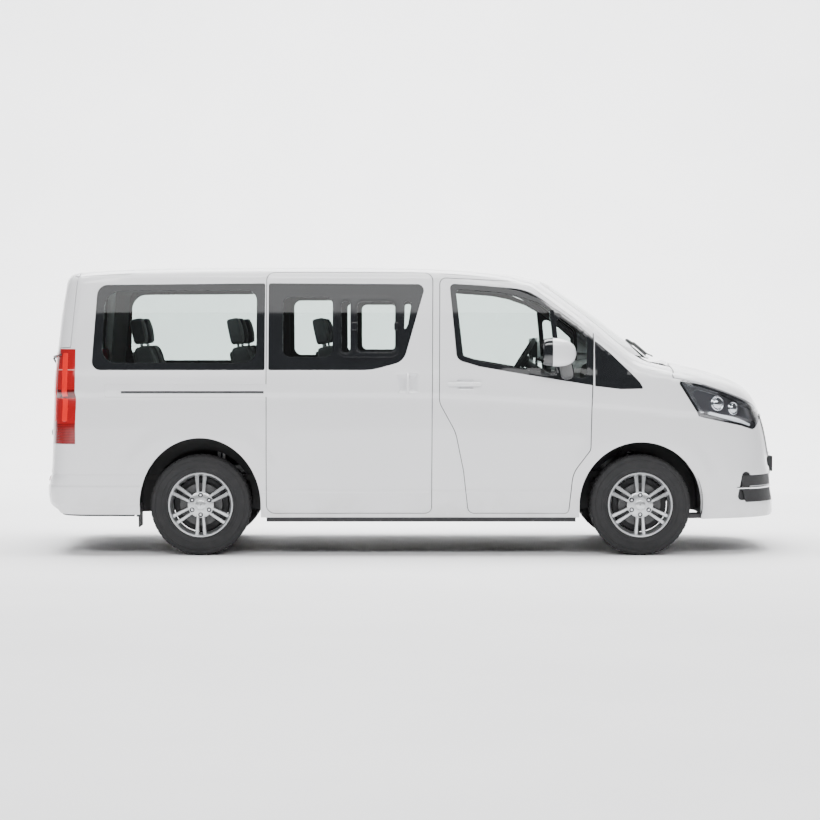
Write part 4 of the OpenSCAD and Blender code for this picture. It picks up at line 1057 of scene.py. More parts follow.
moulding("intake_bright_strip", solid_bar(rim_bar, ridge(0.01, 0.008, 0.004, 0.009, 0.008)), silver_trim,
    "body")
for side in both:
    sheet(f"fog_bezel_{side}", on_side, side_loop(grown(fog_outline, 0.004), 0.02), [], black_grain, "body",
        "black_plastic", side, start=0.012, depth=0.02)
    sheet(f"fog_lens_{side}", on_side, side_loop(oval(front_x + 0.772, 0.49, 0.030, 0.062), 0.02), [],
        gloss_black, "body", "lamp_clear", side, start=0.004, depth=0.014, step=0.02)

# ---- Grille --------------------------------------------------------------------------
# A black moulding between the headlamps: a dark screen set back, six wide bars and
# seven slim uprights over it, and a slim bright bar along the top.

sheet("grille_screen", on_side, front_loop(grown(grille_outline, 0.006)), [], black_grain, "body",
    "black_plastic", replaces=["grille"], start=0.034, depth=0.01)


def wide(z):
    """Half the grille's opening at a height."""
    return 0.505 + (z - grille_lo[2]) * 0.16


bars = []
for z in np.linspace(grille_lo[2] + 0.035, grille_hi[2] - 0.035, 6):
    bars.append(solid_bar(across_nose(wide(z), z, 0.012, 40),
        [(-0.020, -0.005), (0.004, -0.013), (0.010, -0.004), (0.008, 0.010), (-0.020, 0.006)]))
for y in np.linspace(-0.42, 0.42, 7):
    z_run = np.linspace(grille_lo[2] + 0.01, grille_hi[2] - 0.01, 10)
    u_run = run_front(np.full(10, abs(y)), z_run)
    path = [skin_point(u if y < 0 else 2 * centre_u - u, z, 0.024) for u, z in zip(u_run, z_run)]
    bars.append(round_bar(path, 0.006, 8, up=(0, 1, 0)))
moulding("grille_bars", joined(*bars), gloss_black, "body")
frame_loop = front_loop(grown(grille_outline, -0.012), 0.02)
path = [skin_point(u, z, 0.003) for u, z in frame_loop]
moulding("grille_surround", solid_bar(path, [(-0.012, -0.010), (0.008, -0.010), (0.010, 0.008),
    (-0.010, 0.012)], True, (1, 0, 0)), gloss_black, "body")
z_top = grille_hi[2] - 0.055
moulding("grille_bright_bar", solid_bar(across_nose(wide(z_top), z_top, 0.002, 40),
    ridge(0.012, 0.008, 0.004, 0.008, 0.007)), silver_trim, "body")

# ---- Cowl ----------------------------------------------------------------------------
# The grained plastic trough between windscreen and bonnet that takes in cabin air. It
# lies below the bonnet's rear edge, and the wiper spindles stand up through it.

cowl_area = [(front_x - 0.02, -0.75), (bonnet_rear_x - 0.016, -0.75), (bonnet_rear_x - 0.016, 0.75),
    (front_x - 0.02, 0.75)]
sheet("cowl", on_top, cowl_area, [grown(glass_plan, -0.05)], black_grain, "body", "black_plastic",
    replaces=["cowl"], start=0.036, depth=0.012)
vents = []
for y in np.arange(-0.66, 0.67, 0.030):
    x0 = bonnet_rear_x - 0.030
    back = min(0.055, 0.02 + 0.16 * abs(y))
    feet = on_top([(x0, y), (x0 - back, y)], 0.031)[0].T
    vents.append(solid_bar(feet, [(-0.004, -0.004), (0.004, -0.004), (0.003, 0.003), (-0.003, 0.003)]))
moulding("cowl_vents", joined(*vents), black_grain, "body")

# ---- Rear bumper ---------------------------------------------------------------------
# A moulded cover wrapped round the tail between the rear wheels, body colour, with a
# stepped top for a loading sill, two reflectors and a grained lower edge.

tail_u = tail_arc_x - tail_run
rear_full = [(rear_x, sill_z + 0.018), (rear_x, rear_bumper_z), (2 * tail_u - rear_x, rear_bumper_z),
    (2 * tail_u - rear_x, sill_z + 0.018)]


def on_rear(points, depth=0.0):
    """The tail wall with the bumper standing out of it."""
    u, z = np.array(points, dtype=float).T
    skin, normal = on_side(points, depth)
    bulge = -0.007 * step_up(z, 0.484, 0.498) - 0.006 * (1 - step_up(z, 0.345, 0.365))
    h = 0.003
    slope = (-0.007 * (step_up(z + h, 0.484, 0.498) - step_up(z - h, 0.484, 0.498))
             - 0.006 * (step_up(z - h, 0.345, 0.365) - step_up(z + h, 0.345, 0.365))) / (2 * h)
    turned = normal - np.array([0 * u, 0 * u, slope])
    return skin + normal * bulge, turned / np.linalg.norm(turned, axis=0)


rear_rows = np.concatenate([np.arange(0.336, 0.372, 0.006), np.arange(0.478, 0.505, 0.005)])
arch_loop = side_loop(rear_arch)
sheet("rear_bumper", on_rear, refined(rear_full, 0.03),
    [arch_loop, [(2 * tail_u - u, z) for u, z in arch_loop]], white_paint, "body", replaces=["rear_bumper"],
    lines=rear_rows, depth=0.03)
shade, shader, lamp_red = finish("lamp_red", Roughness=0.05, Coat_Weight=1.0, Coat_Roughness=0.02, IOR=1.5)
spot = place(shade)
height = spot.node("ShaderNodeSeparateXYZ", None, {"Vector": spot}, out=2)
ribs_z = bands(shade, "Z", 28.0, spot)
upper = height.between(0.93, 0.95)
# painted shade: a darker band across the lamp's red, level with the shade under the shoulder crease
dark = height.between(1.120, 1.124) * (1 - height.between(1.178, 1.182))
# painted highlight: a thin pale line across the lamp's red, level with the light along the belt
pale = height.between(1.316, 1.318) * (1 - height.between(1.324, 1.326))
tone = ribs_z.mix((0.10, 0.001, 0.002), (0.30, 0.004, 0.005))
tone = upper.mix(tone, (0.34, 0.006, 0.008))
# the next two mixes lay the painted shade band and the painted highlight line over the lamp's own red
tone = dark.mix(tone, (0.10, 0.002, 0.003))
tone = pale.mix(tone, (0.62, 0.22, 0.20))
prism = shade.node("ShaderNodeTexVoronoi", {"feature": "F1", "distance": "CHEBYCHEV"},
    {"Vector": spot, "Scale": 160.0})
vary(shade, shader, Base_Color=tone, Normal=bump(shade, prism + ribs_z, 0.15, 0.001))
for side in both:
    reflector = [(tail_arc_x - tail_run * 0.60, 0.520), (tail_arc_x - tail_run * 0.60, 0.555),
        (tail_arc_x - tail_run * 0.83, 0.555), (tail_arc_x - tail_run * 0.83, 0.520)]
    sheet(f"rear_reflector_{side}", on_rear, rounded([(u, z, 0.008) for u, z in reflector]), [], lamp_red,
        "body", "lamp_red", side, start=-0.003, depth=0.01)
chin = [(u, sill_z + 0.004) for u in np.linspace(rear_x - 0.47, 2 * tail_u - rear_x + 0.47, 90)]
chin = chin + [(u, sill_z + 0.04) for u, z in chin[::-1]]
sheet("rear_bumper_lower_edge", on_rear, chin, [], black_grain, "body", "black_plastic", start=0.012,
    depth=0.03)

# ---- Glass ---------------------------------------------------------------------------
# Bonded windows of green-grey tinted glass, each one a single curved pane with a band of
# fired black enamel round its edge that hides the adhesive.


def tinted(name, tint):
    """A pane: mostly clear, tinted, and more of a mirror the flatter it is looked along."""
    pane = bpy.data.materials.new(name)
    pane.use_nodes = True
    pane.node_tree.nodes.clear()
    shade = Shade(pane.node_tree)
    edge_on = shade.node("ShaderNodeLayerWeight", None, {"Blend": 0.5}, out=1)
    mirror = 0.075 + edge_on.math("POWER", edge_on, 5.0) * 0.9
    clear = shade.node("ShaderNodeBsdfTransparent", None, {"Color": (*tint, 1)})
    smear = bump(shade, noise(shade, 3.0, 1.0), 0.02, 0.002)
    gloss = shade.node("ShaderNodeBsdfAnisotropic", None,
        {"Color": (1, 1, 1, 1), "Roughness": 0.015, "Normal": smear})
    both_ways = shade.node("ShaderNodeMixShader", None, {0: mirror, 1: clear, 2: gloss})
    shade.node("ShaderNodeOutputMaterial", None, {"Surface": both_ways})
    return pane


side_glass = tinted("side_glass", (0.63, 0.69, 0.67))
screen_glass = tinted("screen_glass", (0.80, 0.845, 0.83))
enamel_t = 0.006


def bonded(name, lift, outline, clears, body, node, glass=side_glass, side="right", step=0.03):
    """A pane with its enamel band; the first clear area is the pane, all are see-through."""
    sheet(f"{name}_enamel_{side}", lift, outline, clears, gloss_black, body, "window_glass", side,
        shared(node, side), start=0.003, depth=enamel_t, step=step)
    patches = []
    for clear in clears:
        patches.append((lift, clear, [], {"start": 0.0032, "depth": 0.0004, "step": step, "bevel": 0.0}))
    body_part(f"{name}_pane_{side}", patches, glass, body, side)


screen_outline = grown(glass_plan, -0.0015)
screen_clear = rounded([(front_x - 0.580, 0.0), (front_x - 0.635, -half + 0.400, 0.08),
    (front_x - 0.400, -half + 0.345, 0.6), (front_x - 0.110, -half + 0.255, 0.09),
    (front_x + 0.020, -0.440, 0.4), (front_x + 0.062, 0.0), (front_x + 0.020, 0.440, 0.4),
    (front_x - 0.110, half - 0.255, 0.09), (front_x - 0.400, half - 0.345, 0.6),
    (front_x - 0.635, half - 0.400, 0.08)])
bonded("windscreen", on_top, screen_outline, [screen_clear], "body", "windscreen", screen_glass, step=0.04)

quarter_clear = rounded([
    (tail + 0.430, belt_z + 0.050, 0.10), (slide_x0 - 0.073, belt_z + 0.050, 0.10),
    (slide_x0 - 0.073, window_top_z - 0.047, 0.075), (tail + 0.452, window_top_z - 0.053, 0.12)])
for side in both:
    bonded("quarter", on_side, side_loop(grown(quarter_outline, -0.001)), [side_loop(quarter_clear)],
           "body", "quarter_glass", side=side)

# ---- Tailgate ------------------------------------------------------------------------
# A steel lid hinged on the roof, as wide as the body over the lamps and narrower between
# them. It has a rear window, a pressed seat for the blank number plate and a grab handle.



def back_loop(points, step=0.03):
    """A closed rear-view outline (y, z), laid on the unrolled tail."""
    loop = refined(points, step)
    u = run_back(loop[:, 0], loop[:, 1])
    return np.stack([np.where(loop[:, 0] > 0, 2 * tail_u - u, u), loop[:, 1]], axis=1)


def gate_edge(z):
    """The run along the lid's side edge above the lamps."""
    x = np.interp(z, [lamp_top_z + 0.012, roof_z - 0.105, roof_z + 0.1],
        [tail + 0.204, tail + 0.246, tail + 0.266])
    return run_at(x, z)


z_high = np.linspace(lamp_top_z + 0.012, roof_z - 0.02, 24)
u_high = gate_edge(z_high)
u_mid = np.linspace(u_high[-1], 2 * tail_u - u_high[-1], 90)
over = [(u, z - seam) for u, z in zip(u_mid, shoulder(u_mid))]
low_z, mid_z = rear_bumper_z + gap, lamp_top_z + 0.012
inner_y = tail_lamp_y - gap
z_low = np.linspace(low_z, mid_z, 26)
u_low = run_back(np.full(26, inner_y), z_low)
right_edge = [(u, z) for u, z in zip(u_low, z_low)] + [(u, z) for u, z in zip(u_high, z_high)
    if z < over[0][1]]
gate_outline = right_edge + over + [(2 * tail_u - u, z) for u, z in right_edge[::-1]]
rear_window = rounded([(-0.700, belt_z - 0.020, 0.07), (0.700, belt_z - 0.020, 0.07),
    (0.650, window_top_z - 0.060, 0.09), (-0.650, window_top_z - 0.060, 0.09)])
rear_clear = rounded([(-0.625, belt_z + 0.035, 0.09), (0.625, belt_z + 0.035, 0.09),
    (0.585, window_top_z - 0.125, 0.10), (-0.585, window_top_z - 0.125, 0.10)])
plate_seat = rounded([(-0.300, 0.640, 0.03), (0.300, 0.640, 0.03), (0.280, 0.835, 0.03),
    (-0.280, 0.835, 0.03)])


def on_gate(points, depth=0.0):
    """The tail wall with a crease under the window, sunk across its middle below it."""
    z = np.array(points, dtype=float)[:, 1]
    skin, normal = on_side(points, depth)
    middle = 1 - step_up(np.abs(skin[1]), 0.62, 0.74)
    under = belt_z - 0.10 - z
    sink = middle * (step_up(under, 0.0, 0.04) * (1 - step_up(under, 0.16, 0.46))) * 0.012
    return skin - normal * sink, normal


gate_rows = np.concatenate([np.arange(belt_z - 0.16, belt_z - 0.08, 0.01), np.arange(0.62, 0.86, 0.02)])
edge = top_edge(np.linspace(u_high[-1] + 0.1, 2 * tail_u - u_high[-1] - 0.1, 90), seam)
gate_roof = [tuple(p) for p in edge[edge[:, 0] < gate_hinge_x - 0.001]]
gate_roof = [(gate_hinge_x - 0.001, gate_roof[0][1])] + gate_roof + [
    (gate_hinge_x - 0.001, gate_roof[-1][1])]
body_part("tailgate", [(on_gate, gate_outline, [back_loop(grown(rear_window, 0.002)),
    back_loop(plate_seat)], {"lines": gate_rows}), (on_top, gate_roof, [], {"step": 0.03}),
    (on_side, back_loop(grown(plate_seat, 0.01)), [], {"start": 0.020, "depth": 0.006})], white_paint,
    "tailgate", replaces=["tailgate"])
bonded("tailgate", on_side, back_loop(grown(rear_window, -0.001)), [back_loop(rear_clear)], "tailgate",
    "tailgate_glass", side_glass)

shade, shader, trim_grey = finish("trim_grey", Roughness=0.62, Specular_IOR_Level=0.3)
vary(shade, shader, Base_Color=noise(shade, 16.0, 4.0).mix((0.105, 0.105, 0.11), (0.135, 0.135, 0.14)),
    Normal=bump(shade, shade.node("ShaderNodeTexVoronoi", None, {"Vector": place(shade), "Scale": 700.0}),
    0.3, 0.0005))


def lining(name, lift, outline, holes, body, side="right", depth=0.044, step=0.05,
    material=trim_grey):
    """A trim panel facing into the cabin, its edge turned out to meet the steel."""
    points, faces, normals = pressed(lift, outline, holes, depth=-0.026, step=step, bevel=-0.003,
        start=depth)
    return panel(name, (points, [f[::-1] for f in faces], -normals), material, body, side)


lining("tailgate_trim", on_side, grown(gate_outline, -0.022), [back_loop(grown(rear_window, -0.012))],
    "tailgate")
plate_base = block((tail + 0.0215, -0.262, 0.673), (tail + 0.0865, 0.262, 0.787))
moulding("rear_plate_holder", plate_base, black_grain, "tailgate", bevel=0.005)
grip = [skin_point(u, 0.868, -0.012 + 0.01 * abs(k) ** 4)
    for k, u in zip(np.linspace(-1, 1, 24), np.linspace(tail_u - 0.33, tail_u + 0.33, 24))]
moulding("tailgate_handle", solid_bar(grip, [(-0.022, -0.018), (0.006, -0.020), (0.010, 0.002),
    (0.002, 0.022), (-0.022, 0.020)]), silver_trim, "tailgate")
wiper_root = skin_point(tail_u - 0.02, belt_z - 0.052, -0.004)
shaft = round_bar([wiper_root + Vector((0.03, 0, 0)), wiper_root - Vector((0.022, 0, 0))], 0.017, 20)
arm = [skin_point(u, z, -0.026) for u, z in zip(np.linspace(tail_u - 0.02, tail_u + 0.30, 10),
    np.linspace(belt_z - 0.052, belt_z + 0.075, 10))]
blade = [skin_point(u, z, -0.014) for u, z in zip(np.linspace(tail_u + 0.08, tail_u + 0.46, 12),
    np.linspace(belt_z + 0.052, belt_z + 0.105, 12))]
moulding("rear_wiper", joined(shaft, round_bar(arm, 0.007, 10),
    solid_bar(blade, [(-0.010, -0.004), (0.010, -0.002), (0.010, 0.002), (-0.010, 0.004)])), black_grain,
    "tailgate")
brake_loop = back_loop(rect(-0.17, roof_z - 0.118, 0.17, roof_z - 0.090, 0.012))
sheet("high_brake_lamp", on_side, brake_loop, [], lamp_red, "tailgate", "lamp_red", start=-0.002,
    depth=0.01)

# ---- Tail lamps ----------------------------------------------------------------------
# Tall lamps in the rear corners, from the bumper up to the window line: a clear red cover
# over a dark body, with an upright bright band beside a darker column.

lamp_loop = side_loop(rounded([
    (tail_lamp_x - 0.001, lamp_bottom_z + 0.0015, 0.012), (tail_lamp_x - 0.001, lamp_top_z - 0.0015, 0.012),
    (tail_lamp_x - 0.30, lamp_top_z - 0.0015), (tail_lamp_x - 0.30, lamp_bottom_z + 0.0015)]))
lamp_loop = [(max(u, run_of(run_back, lamp_seam_y, z)), z) for u, z in lamp_loop]
shade, shader, lamp_bright = finish("lamp_bright_red", Roughness=0.06, Coat_Weight=1.0, Coat_Roughness=0.02)
spot = place(shade)
reed = bands(shade, "Z", 40.0, spot)
vary(shade, shader, Base_Color=reed.mix((0.62, 0.006, 0.006), (0.78, 0.014, 0.012)),
     Emission_Color=reed.mix((0.5, 0.002, 0.002), (0.6, 0.01, 0.01)), Normal=bump(shade, reed, 0.2, 0.001))
shader.inputs["Emission Strength"].default_value = 0.18
for side in both:
    sheet(f"tail_lamp_{side}", on_side, lamp_loop, [], lamp_red, "body", "lamp_red", side,
        shared("tail_lamps", side), depth=0.055, step=0.03, bevel=0.004)
    low, high = 0.955, lamp_top_z - 0.03
    for k, (a, b) in enumerate(((0.062, 0.100), (0.150, 0.166))):
        fore, aft = tail_lamp_x - a, tail_lamp_x - b
        strip_loop = side_loop(rounded([(aft, low, 0.01), (fore, low, 0.01), (fore + 0.005, high, 0.01),
            (aft + 0.005, high, 0.01)]), 0.02)
        sheet(f"tail_lamp_band_{k}_{side}", on_side, strip_loop, [], lamp_bright, "body", "lamp_red", side,
            start=-0.0012, depth=0.004, step=0.03)

# ---- Sliding doors -------------------------------------------------------------------
# Steel doors on rollers behind the front doors, here shut. Each has a bonded window with
# a small sliding vent in a raised black frame, and an upright pull handle in a deep cup.

slide_window = rounded([(slide_x0 + 0.012, belt_z, 0.012), (slide_x1 - 0.420, belt_z, 0.4),
    (slide_x1 - 0.195, belt_z + 0.062, 0.11), (slide_x1 - 0.038, window_top_z - 0.006, 0.045),
    (slide_x0 + 0.012, window_top_z, 0.012)])
front_pane = rect(-0.934, belt_z + 0.092, -0.578, window_top_z - 0.097, 0.055)
vent_ring = rect(-0.542, belt_z + 0.092, -0.107, window_top_z - 0.090, 0.06)
vent_slot = rect(-0.518, belt_z + 0.125, -0.452, window_top_z - 0.125, 0.03)
vent_pane = rect(-0.405, belt_z + 0.135, -0.134, window_top_z - 0.130, 0.04)
sliver = rounded([(-0.075, belt_z + 0.255, 0.01), (-0.040, belt_z + 0.330, 0.02),
    (-0.015, window_top_z - 0.125, 0.02), (-0.070, window_top_z - 0.125, 0.02)])
cup = rect(-0.128, belt_z - 0.170, 0.042, belt_z - 0.020, 0.035)
rubber = mottled("seal_rubber", 40.0, (0.010, 0.010, 0.011), (0.022, 0.022, 0.023), (500.0, 0.2, 0.0005),
    Roughness=0.7, Specular_IOR_Level=0.25)


def cup_skin(points, depth=0.0):
    """The bowl behind a door handle, deepest at its middle."""
    u, z = np.array(points, dtype=float).T
    (cx, cz), (long, high, deepest) = cup_at, cup_size

    def deep(uu, zz):
        out = np.maximum(np.abs(uu - cx) / long, np.abs(zz - cz) / high)
        return deepest * (1 - step_up(out, 0.45, 0.98))

    sink = deep(u, z)
    skin, normal = on_side(points, depth)
    h = 0.002
    gu, gz = (deep(u + h, z) - deep(u - h, z)) / (2 * h), (deep(u, z + h) - deep(u, z - h)) / (2 * h)
    turned = normal + np.array([gu, 0 * u, gz])
    return skin - normal * sink, turned / np.linalg.norm(turned, axis=0)


for side in both:
    door = f"sliding_door_{side}"
    sheet(door, on_side, slide_outline, [grown(slide_window, 0.002), grown(cup, 0.0)], white_paint, "body",
        side=side, replaces=[door], lines=side_rows, depth=0.03)
    bonded("sliding", on_side, grown(slide_window, -0.001), [front_pane, vent_slot, vent_pane, sliver],
        "body", "sliding_door_glass", side=side)
    sheet(f"vent_frame_{side}", on_side, vent_ring, [grown(vent_slot, 0.012), grown(vent_pane, 0.014)],
        gloss_black, "body", "black_plastic", side, start=-0.004, depth=0.008, bevel=0.002)
    latches = []
    for x, w in ((-0.425, 0.022), (-0.128, 0.014)):
        a, b = skin_point(x, 1.600, -0.012), skin_point(x, 1.655, -0.012)
        latches.append(solid_bar([a, b], [(-w, -0.006), (w, -0.006), (w * 0.8, 0.008), (-w * 0.8, 0.008)],
            up=(0, 1, 0)))
    moulding(f"vent_latches_{side}", joined(*latches), gloss_black, "body", side,
        bevel=0.003)
    cup_at, cup_size = (-0.043, belt_z - 0.095), (0.085, 0.075, 0.030)
    sheet(f"sliding_handle_cup_{side}", cup_skin, grown(cup, -0.0006), [], white_paint, "body", side=side,
        step=0.008, depth=0.01)
    grip = [skin_point(-0.043, z, d) for z, d in ((belt_z - 0.160, 0.012), (belt_z - 0.150, -0.006),
        (belt_z - 0.125, -0.014), (belt_z - 0.095, -0.016), (belt_z - 0.065, -0.014),
        (belt_z - 0.040, -0.006), (belt_z - 0.030, 0.012))]
    moulding(f"sliding_handle_{side}", solid_bar(grip,
        [(-0.017, -0.006), (-0.010, -0.012), (0.010, -0.012), (0.017, -0.006), (0.015, 0.007),
        (-0.015, 0.007)], up=(1, 0, 0)), white_paint, "body", side, bevel=0.002, subdivide=2,
        flat=80)
    lining(f"sliding_door_trim_{side}", on_side, grown(slide_outline, -0.020),
        [grown(slide_window, -0.010)], "body", side=side)

# ---- Front doors ---------------------------------------------------------------------
# Steel doors hinged at their front edge. The window has a fixed front light behind a slim
# post; a black frame round both carries the window line on to the corner plate. A pull
# cup is pressed into the skin, and inside, a moulded trim panel holds an armrest.

door_window = rounded([(door_x0 + 0.072, window_top_z - 0.004, 0.03),
    (door_x0 + 0.122, belt_z + 0.068, 0.06), (door_x1 - 0.022, belt_z - 0.100, 0.02),
    (door_x1 - 0.022, belt_z + 0.235, 0.02), (front_x - 0.790, window_top_z - 0.042, 0.40)])
door_frame = rounded([(door_x0 + 0.070, window_top_z - 0.003, 0.03),
    (door_x0 + 0.126, belt_z + 0.085, 0.03), (door_x0 + 0.160, belt_z + 0.062),
    (door_x0 + 0.284, belt_z + 0.025), (door_x0 + 0.567, belt_z - 0.024), (door_x0 + 0.851, belt_z - 0.070),
    (door_x1 - 0.0025, belt_z - 0.1085), (door_x1 - 0.0005, belt_z + 0.2285),
    (door_x1 - 0.092, belt_z + 0.306), (door_x1 - 0.235, belt_z + 0.412), (door_x1 - 0.377, belt_z + 0.501),
    (door_x1 - 0.520, belt_z + 0.558), (door_x1 - 0.662, belt_z + 0.587),
    (door_x1 - 0.805, belt_z + 0.601)])
main_light = rounded([(door_x0 + 0.112, window_top_z - 0.040, 0.03),
    (door_x0 + 0.166, belt_z + 0.098, 0.03), (door_x0 + 0.290, belt_z + 0.058),
    (door_x0 + 0.567, belt_z + 0.010), (door_x1 - 0.262, belt_z - 0.034, 0.02),
    (door_x1 - 0.312, belt_z + 0.430, 0.02), (door_x1 - 0.400, belt_z + 0.480),
    (door_x1 - 0.530, belt_z + 0.526), (door_x1 - 0.662, belt_z + 0.552),
    (door_x1 - 0.805, belt_z + 0.564)])
fore_light = rounded([(door_x1 - 0.231, belt_z - 0.034, 0.02), (door_x1 - 0.050, belt_z - 0.064, 0.03),
    (door_x1 - 0.045, belt_z + 0.222, 0.04), (door_x1 - 0.130, belt_z + 0.298),
    (door_x1 - 0.272, belt_z + 0.400, 0.03)])
pull_cup = rect(0.296, belt_z - 0.142, 0.430, belt_z - 0.062, 0.03)
for side in both:
    door = f"front_door_{side}"
    sheet(door, on_side, door_outline, [grown(door_window, 0.002), pull_cup], white_paint, door, side=side,
        replaces=[door], lines=side_rows, depth=0.03)
    sheet(f"front_window_frame_{side}", on_side, door_frame, [main_light, fore_light], gloss_black, door,
        "window_glass", side, [f"front_door_glass_{side}"], start=-0.0015, depth=0.010)
    body_part(f"front_window_{side}", [(on_side, grown(main_light, 0.004), [],
        {"start": 0.0045, "depth": 0.0004, "bevel": 0.0}),
        (on_side, grown(fore_light, 0.004), [], {"start": 0.0045, "depth": 0.0004, "bevel": 0.0})],
        side_glass, door, side)
    post = [skin_point(x, z, 0.001) for x, z in ((door_x1 - 0.247, belt_z - 0.045),
        (door_x1 - 0.270, belt_z + 0.18), (door_x1 - 0.294, belt_z + 0.425))]
    moulding(f"front_window_post_{side}", solid_bar(post,
        [(-0.013, -0.004), (0.013, -0.004), (0.012, 0.003), (-0.012, 0.003)], up=(0, 1, 0)), gloss_black,
        door, side)
    cup_at, cup_size = (0.363, belt_z - 0.102), (0.067, 0.040, 0.022)
    sheet(f"front_handle_cup_{side}", cup_skin, grown(pull_cup, -0.0006), [], white_paint, door, side=side,
        step=0.007, depth=0.01)
    grip = [skin_point(x, belt_z - 0.1015 + 0.0035 * (x - 0.35), d)
        for x, d in ((0.240, 0.006), (0.246, -0.010), (0.270, -0.019), (0.330, -0.026), (0.390, -0.027),
        (0.440, -0.022), (0.470, -0.012), (0.478, 0.006))]
    moulding(f"front_handle_{side}", solid_bar(grip,
        [(-0.006, -0.013), (0.004, -0.015), (0.010, -0.006), (0.010, 0.006), (0.004, 0.015),
        (-0.006, 0.013)]), white_paint, door, side, subdivide=2, flat=80)
    lining(f"front_door_trim_{side}", on_side, grown(door_outline, -0.020), [grown(door_window, -0.010)],
        door, side=side)
    rest = [(x, -half + 0.072 + 0.02 * (abs(x - 0.62) < 0.3), belt_z - 0.30 + 0.03 * (x - 0.5))
        for x in np.linspace(0.34, 0.98, 12)]
    moulding(f"armrest_{side}", solid_bar(rest, [(-0.026, -0.03), (0.026, -0.03), (0.030, 0.022),
        (-0.026, 0.03)]), trim_grey, door, side, bevel=0.008, subdivide=1)

# ---- Door mirrors --------------------------------------------------------------------
# A painted shell on a black foot on the door's waist, with a black rim round the glass.


def shell_ring(x, cy, cz, a, b, n=40, power=3.4):
    """A squared-off oval across the vehicle, of half sizes a and b."""
    out = []
    for k in range(n):
        t = 2 * math.pi * k / n
        c, s = math.cos(t), math.sin(t)
        r = (abs(c) ** power + abs(s) ** power) ** (-1 / power)
        out.append((x, cy + a * c * r, cz + b * s * r))
    return out


def stacked(rings, cap=(True, True)):
    """A skin over rings of equally many points, closed at its ends if asked."""
    n = len(rings[0])
    points = [p for r in rings for p in r]
    faces = [(i * n + k, i * n + (k + 1) % n, (i + 1) * n + (k + 1) % n, (i + 1) * n + k)
        for i in range(len(rings) - 1) for k in range(n)]
    if cap[0]:
        faces.append(tuple(range(n))[::-1])
    if cap[1]:
        faces.append(tuple(range((len(rings) - 1) * n, len(rings) * n)))
    return points, faces


mirror_x, mirror_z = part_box("mirror_right")[0][0], belt_z + 0.128
mirror_silver = mottled("mirror_silver", 4.0, (0.74, 0.76, 0.78), (0.80, 0.82, 0.84), Metallic=1.0,
    Roughness=0.02)
for side in both:
    door = f"front_door_{side}"
    lump = []
    for t in np.linspace(0, 1, 14):
        k = (1 - t ** 2.7) ** (1 / 2.2) if t < 1 else 0.05
        lump.append(shell_ring(mirror_x + 0.062 + 0.170 * t, -1.078 - 0.012 * (1 - t) + 0.02 * t,
            mirror_z - 0.010 * t, 0.086 * max(k, 0.08), 0.100 * max(k, 0.08)))
    moulding(f"mirror_shell_{side}", stacked(lump), white_paint, door, side,
        replaces=[f"mirror_{side}"])
    rim = [shell_ring(mirror_x + x, -1.090, mirror_z, a, b)
        for x, a, b in ((0.062, 0.0845, 0.0985), (0.030, 0.083, 0.097), (0.006, 0.079, 0.093),
        (0.0, 0.074, 0.088), (0.004, 0.070, 0.084), (0.018, 0.068, 0.082))]
    moulding(f"mirror_rim_{side}", stacked(rim, (False, True)), gloss_black, door, side)
    moulding(f"mirror_glass_{side}", stacked([shell_ring(mirror_x + 0.012, -1.090, mirror_z, 0.0675,
        0.0815), shell_ring(mirror_x + 0.016, -1.090, mirror_z, 0.067, 0.081)]), mirror_silver, door,
        side)
    low_at = skin_point(1.085, belt_z - 0.055, 0.004)
    foot = [low_at, low_at + Vector((0.002, -0.022, 0.018)), Vector((1.072, -1.020, mirror_z - 0.098)),
        Vector((1.060, -1.050, mirror_z - 0.070)), Vector((1.055, -1.065, mirror_z - 0.03))]
    moulding(f"mirror_foot_{side}", solid_bar(foot,
        [(0.030 * math.cos(a), 0.052 * math.sin(a)) for a in np.arange(16) * math.pi / 8], up=(1, 0, 0)),
        gloss_black, door, side, subdivide=1, flat=80)

# ---- Front corner vents --------------------------------------------------------------
# Black grained inserts that carry the intake's line round to the side, one over the
# other, with a bright blade between them.

for side in both:
    for name, low, high, start in (("upper", 0.487, 0.562, nose - 0.340),
        ("lower", 0.372, 0.462, nose - 0.330)):
        edge_u = run_of(run_front, -0.500, (low + high) / 2)
        vent = rounded([(start, low, 0.012), (edge_u, low, 0.02), (edge_u, high, 0.02),
            (start - 0.004, high, 0.012)])
        sheet(f"corner_vent_{name}_{side}", on_side, vent, [], black_grain, "body", "black_plastic", side,
            start=-0.0012, depth=0.01)
    blade_u = np.linspace(start - 0.06, edge_u, 14)
    blade = [skin_point(u, 0.4745, -0.002) for u in blade_u]
    moulding(f"corner_blade_{side}", solid_bar(blade, ridge(0.008, 0.006, 0.006, 0.007, 0.008)),
        silver_trim, "body", side)

# ---- Headlamps -----------------------------------------------------------------------
# A clear moulded cover swept back over the wing, a dark body with two projector lenses
# behind it, a bright turn-signal strip up its rear edge and a white light bar below.

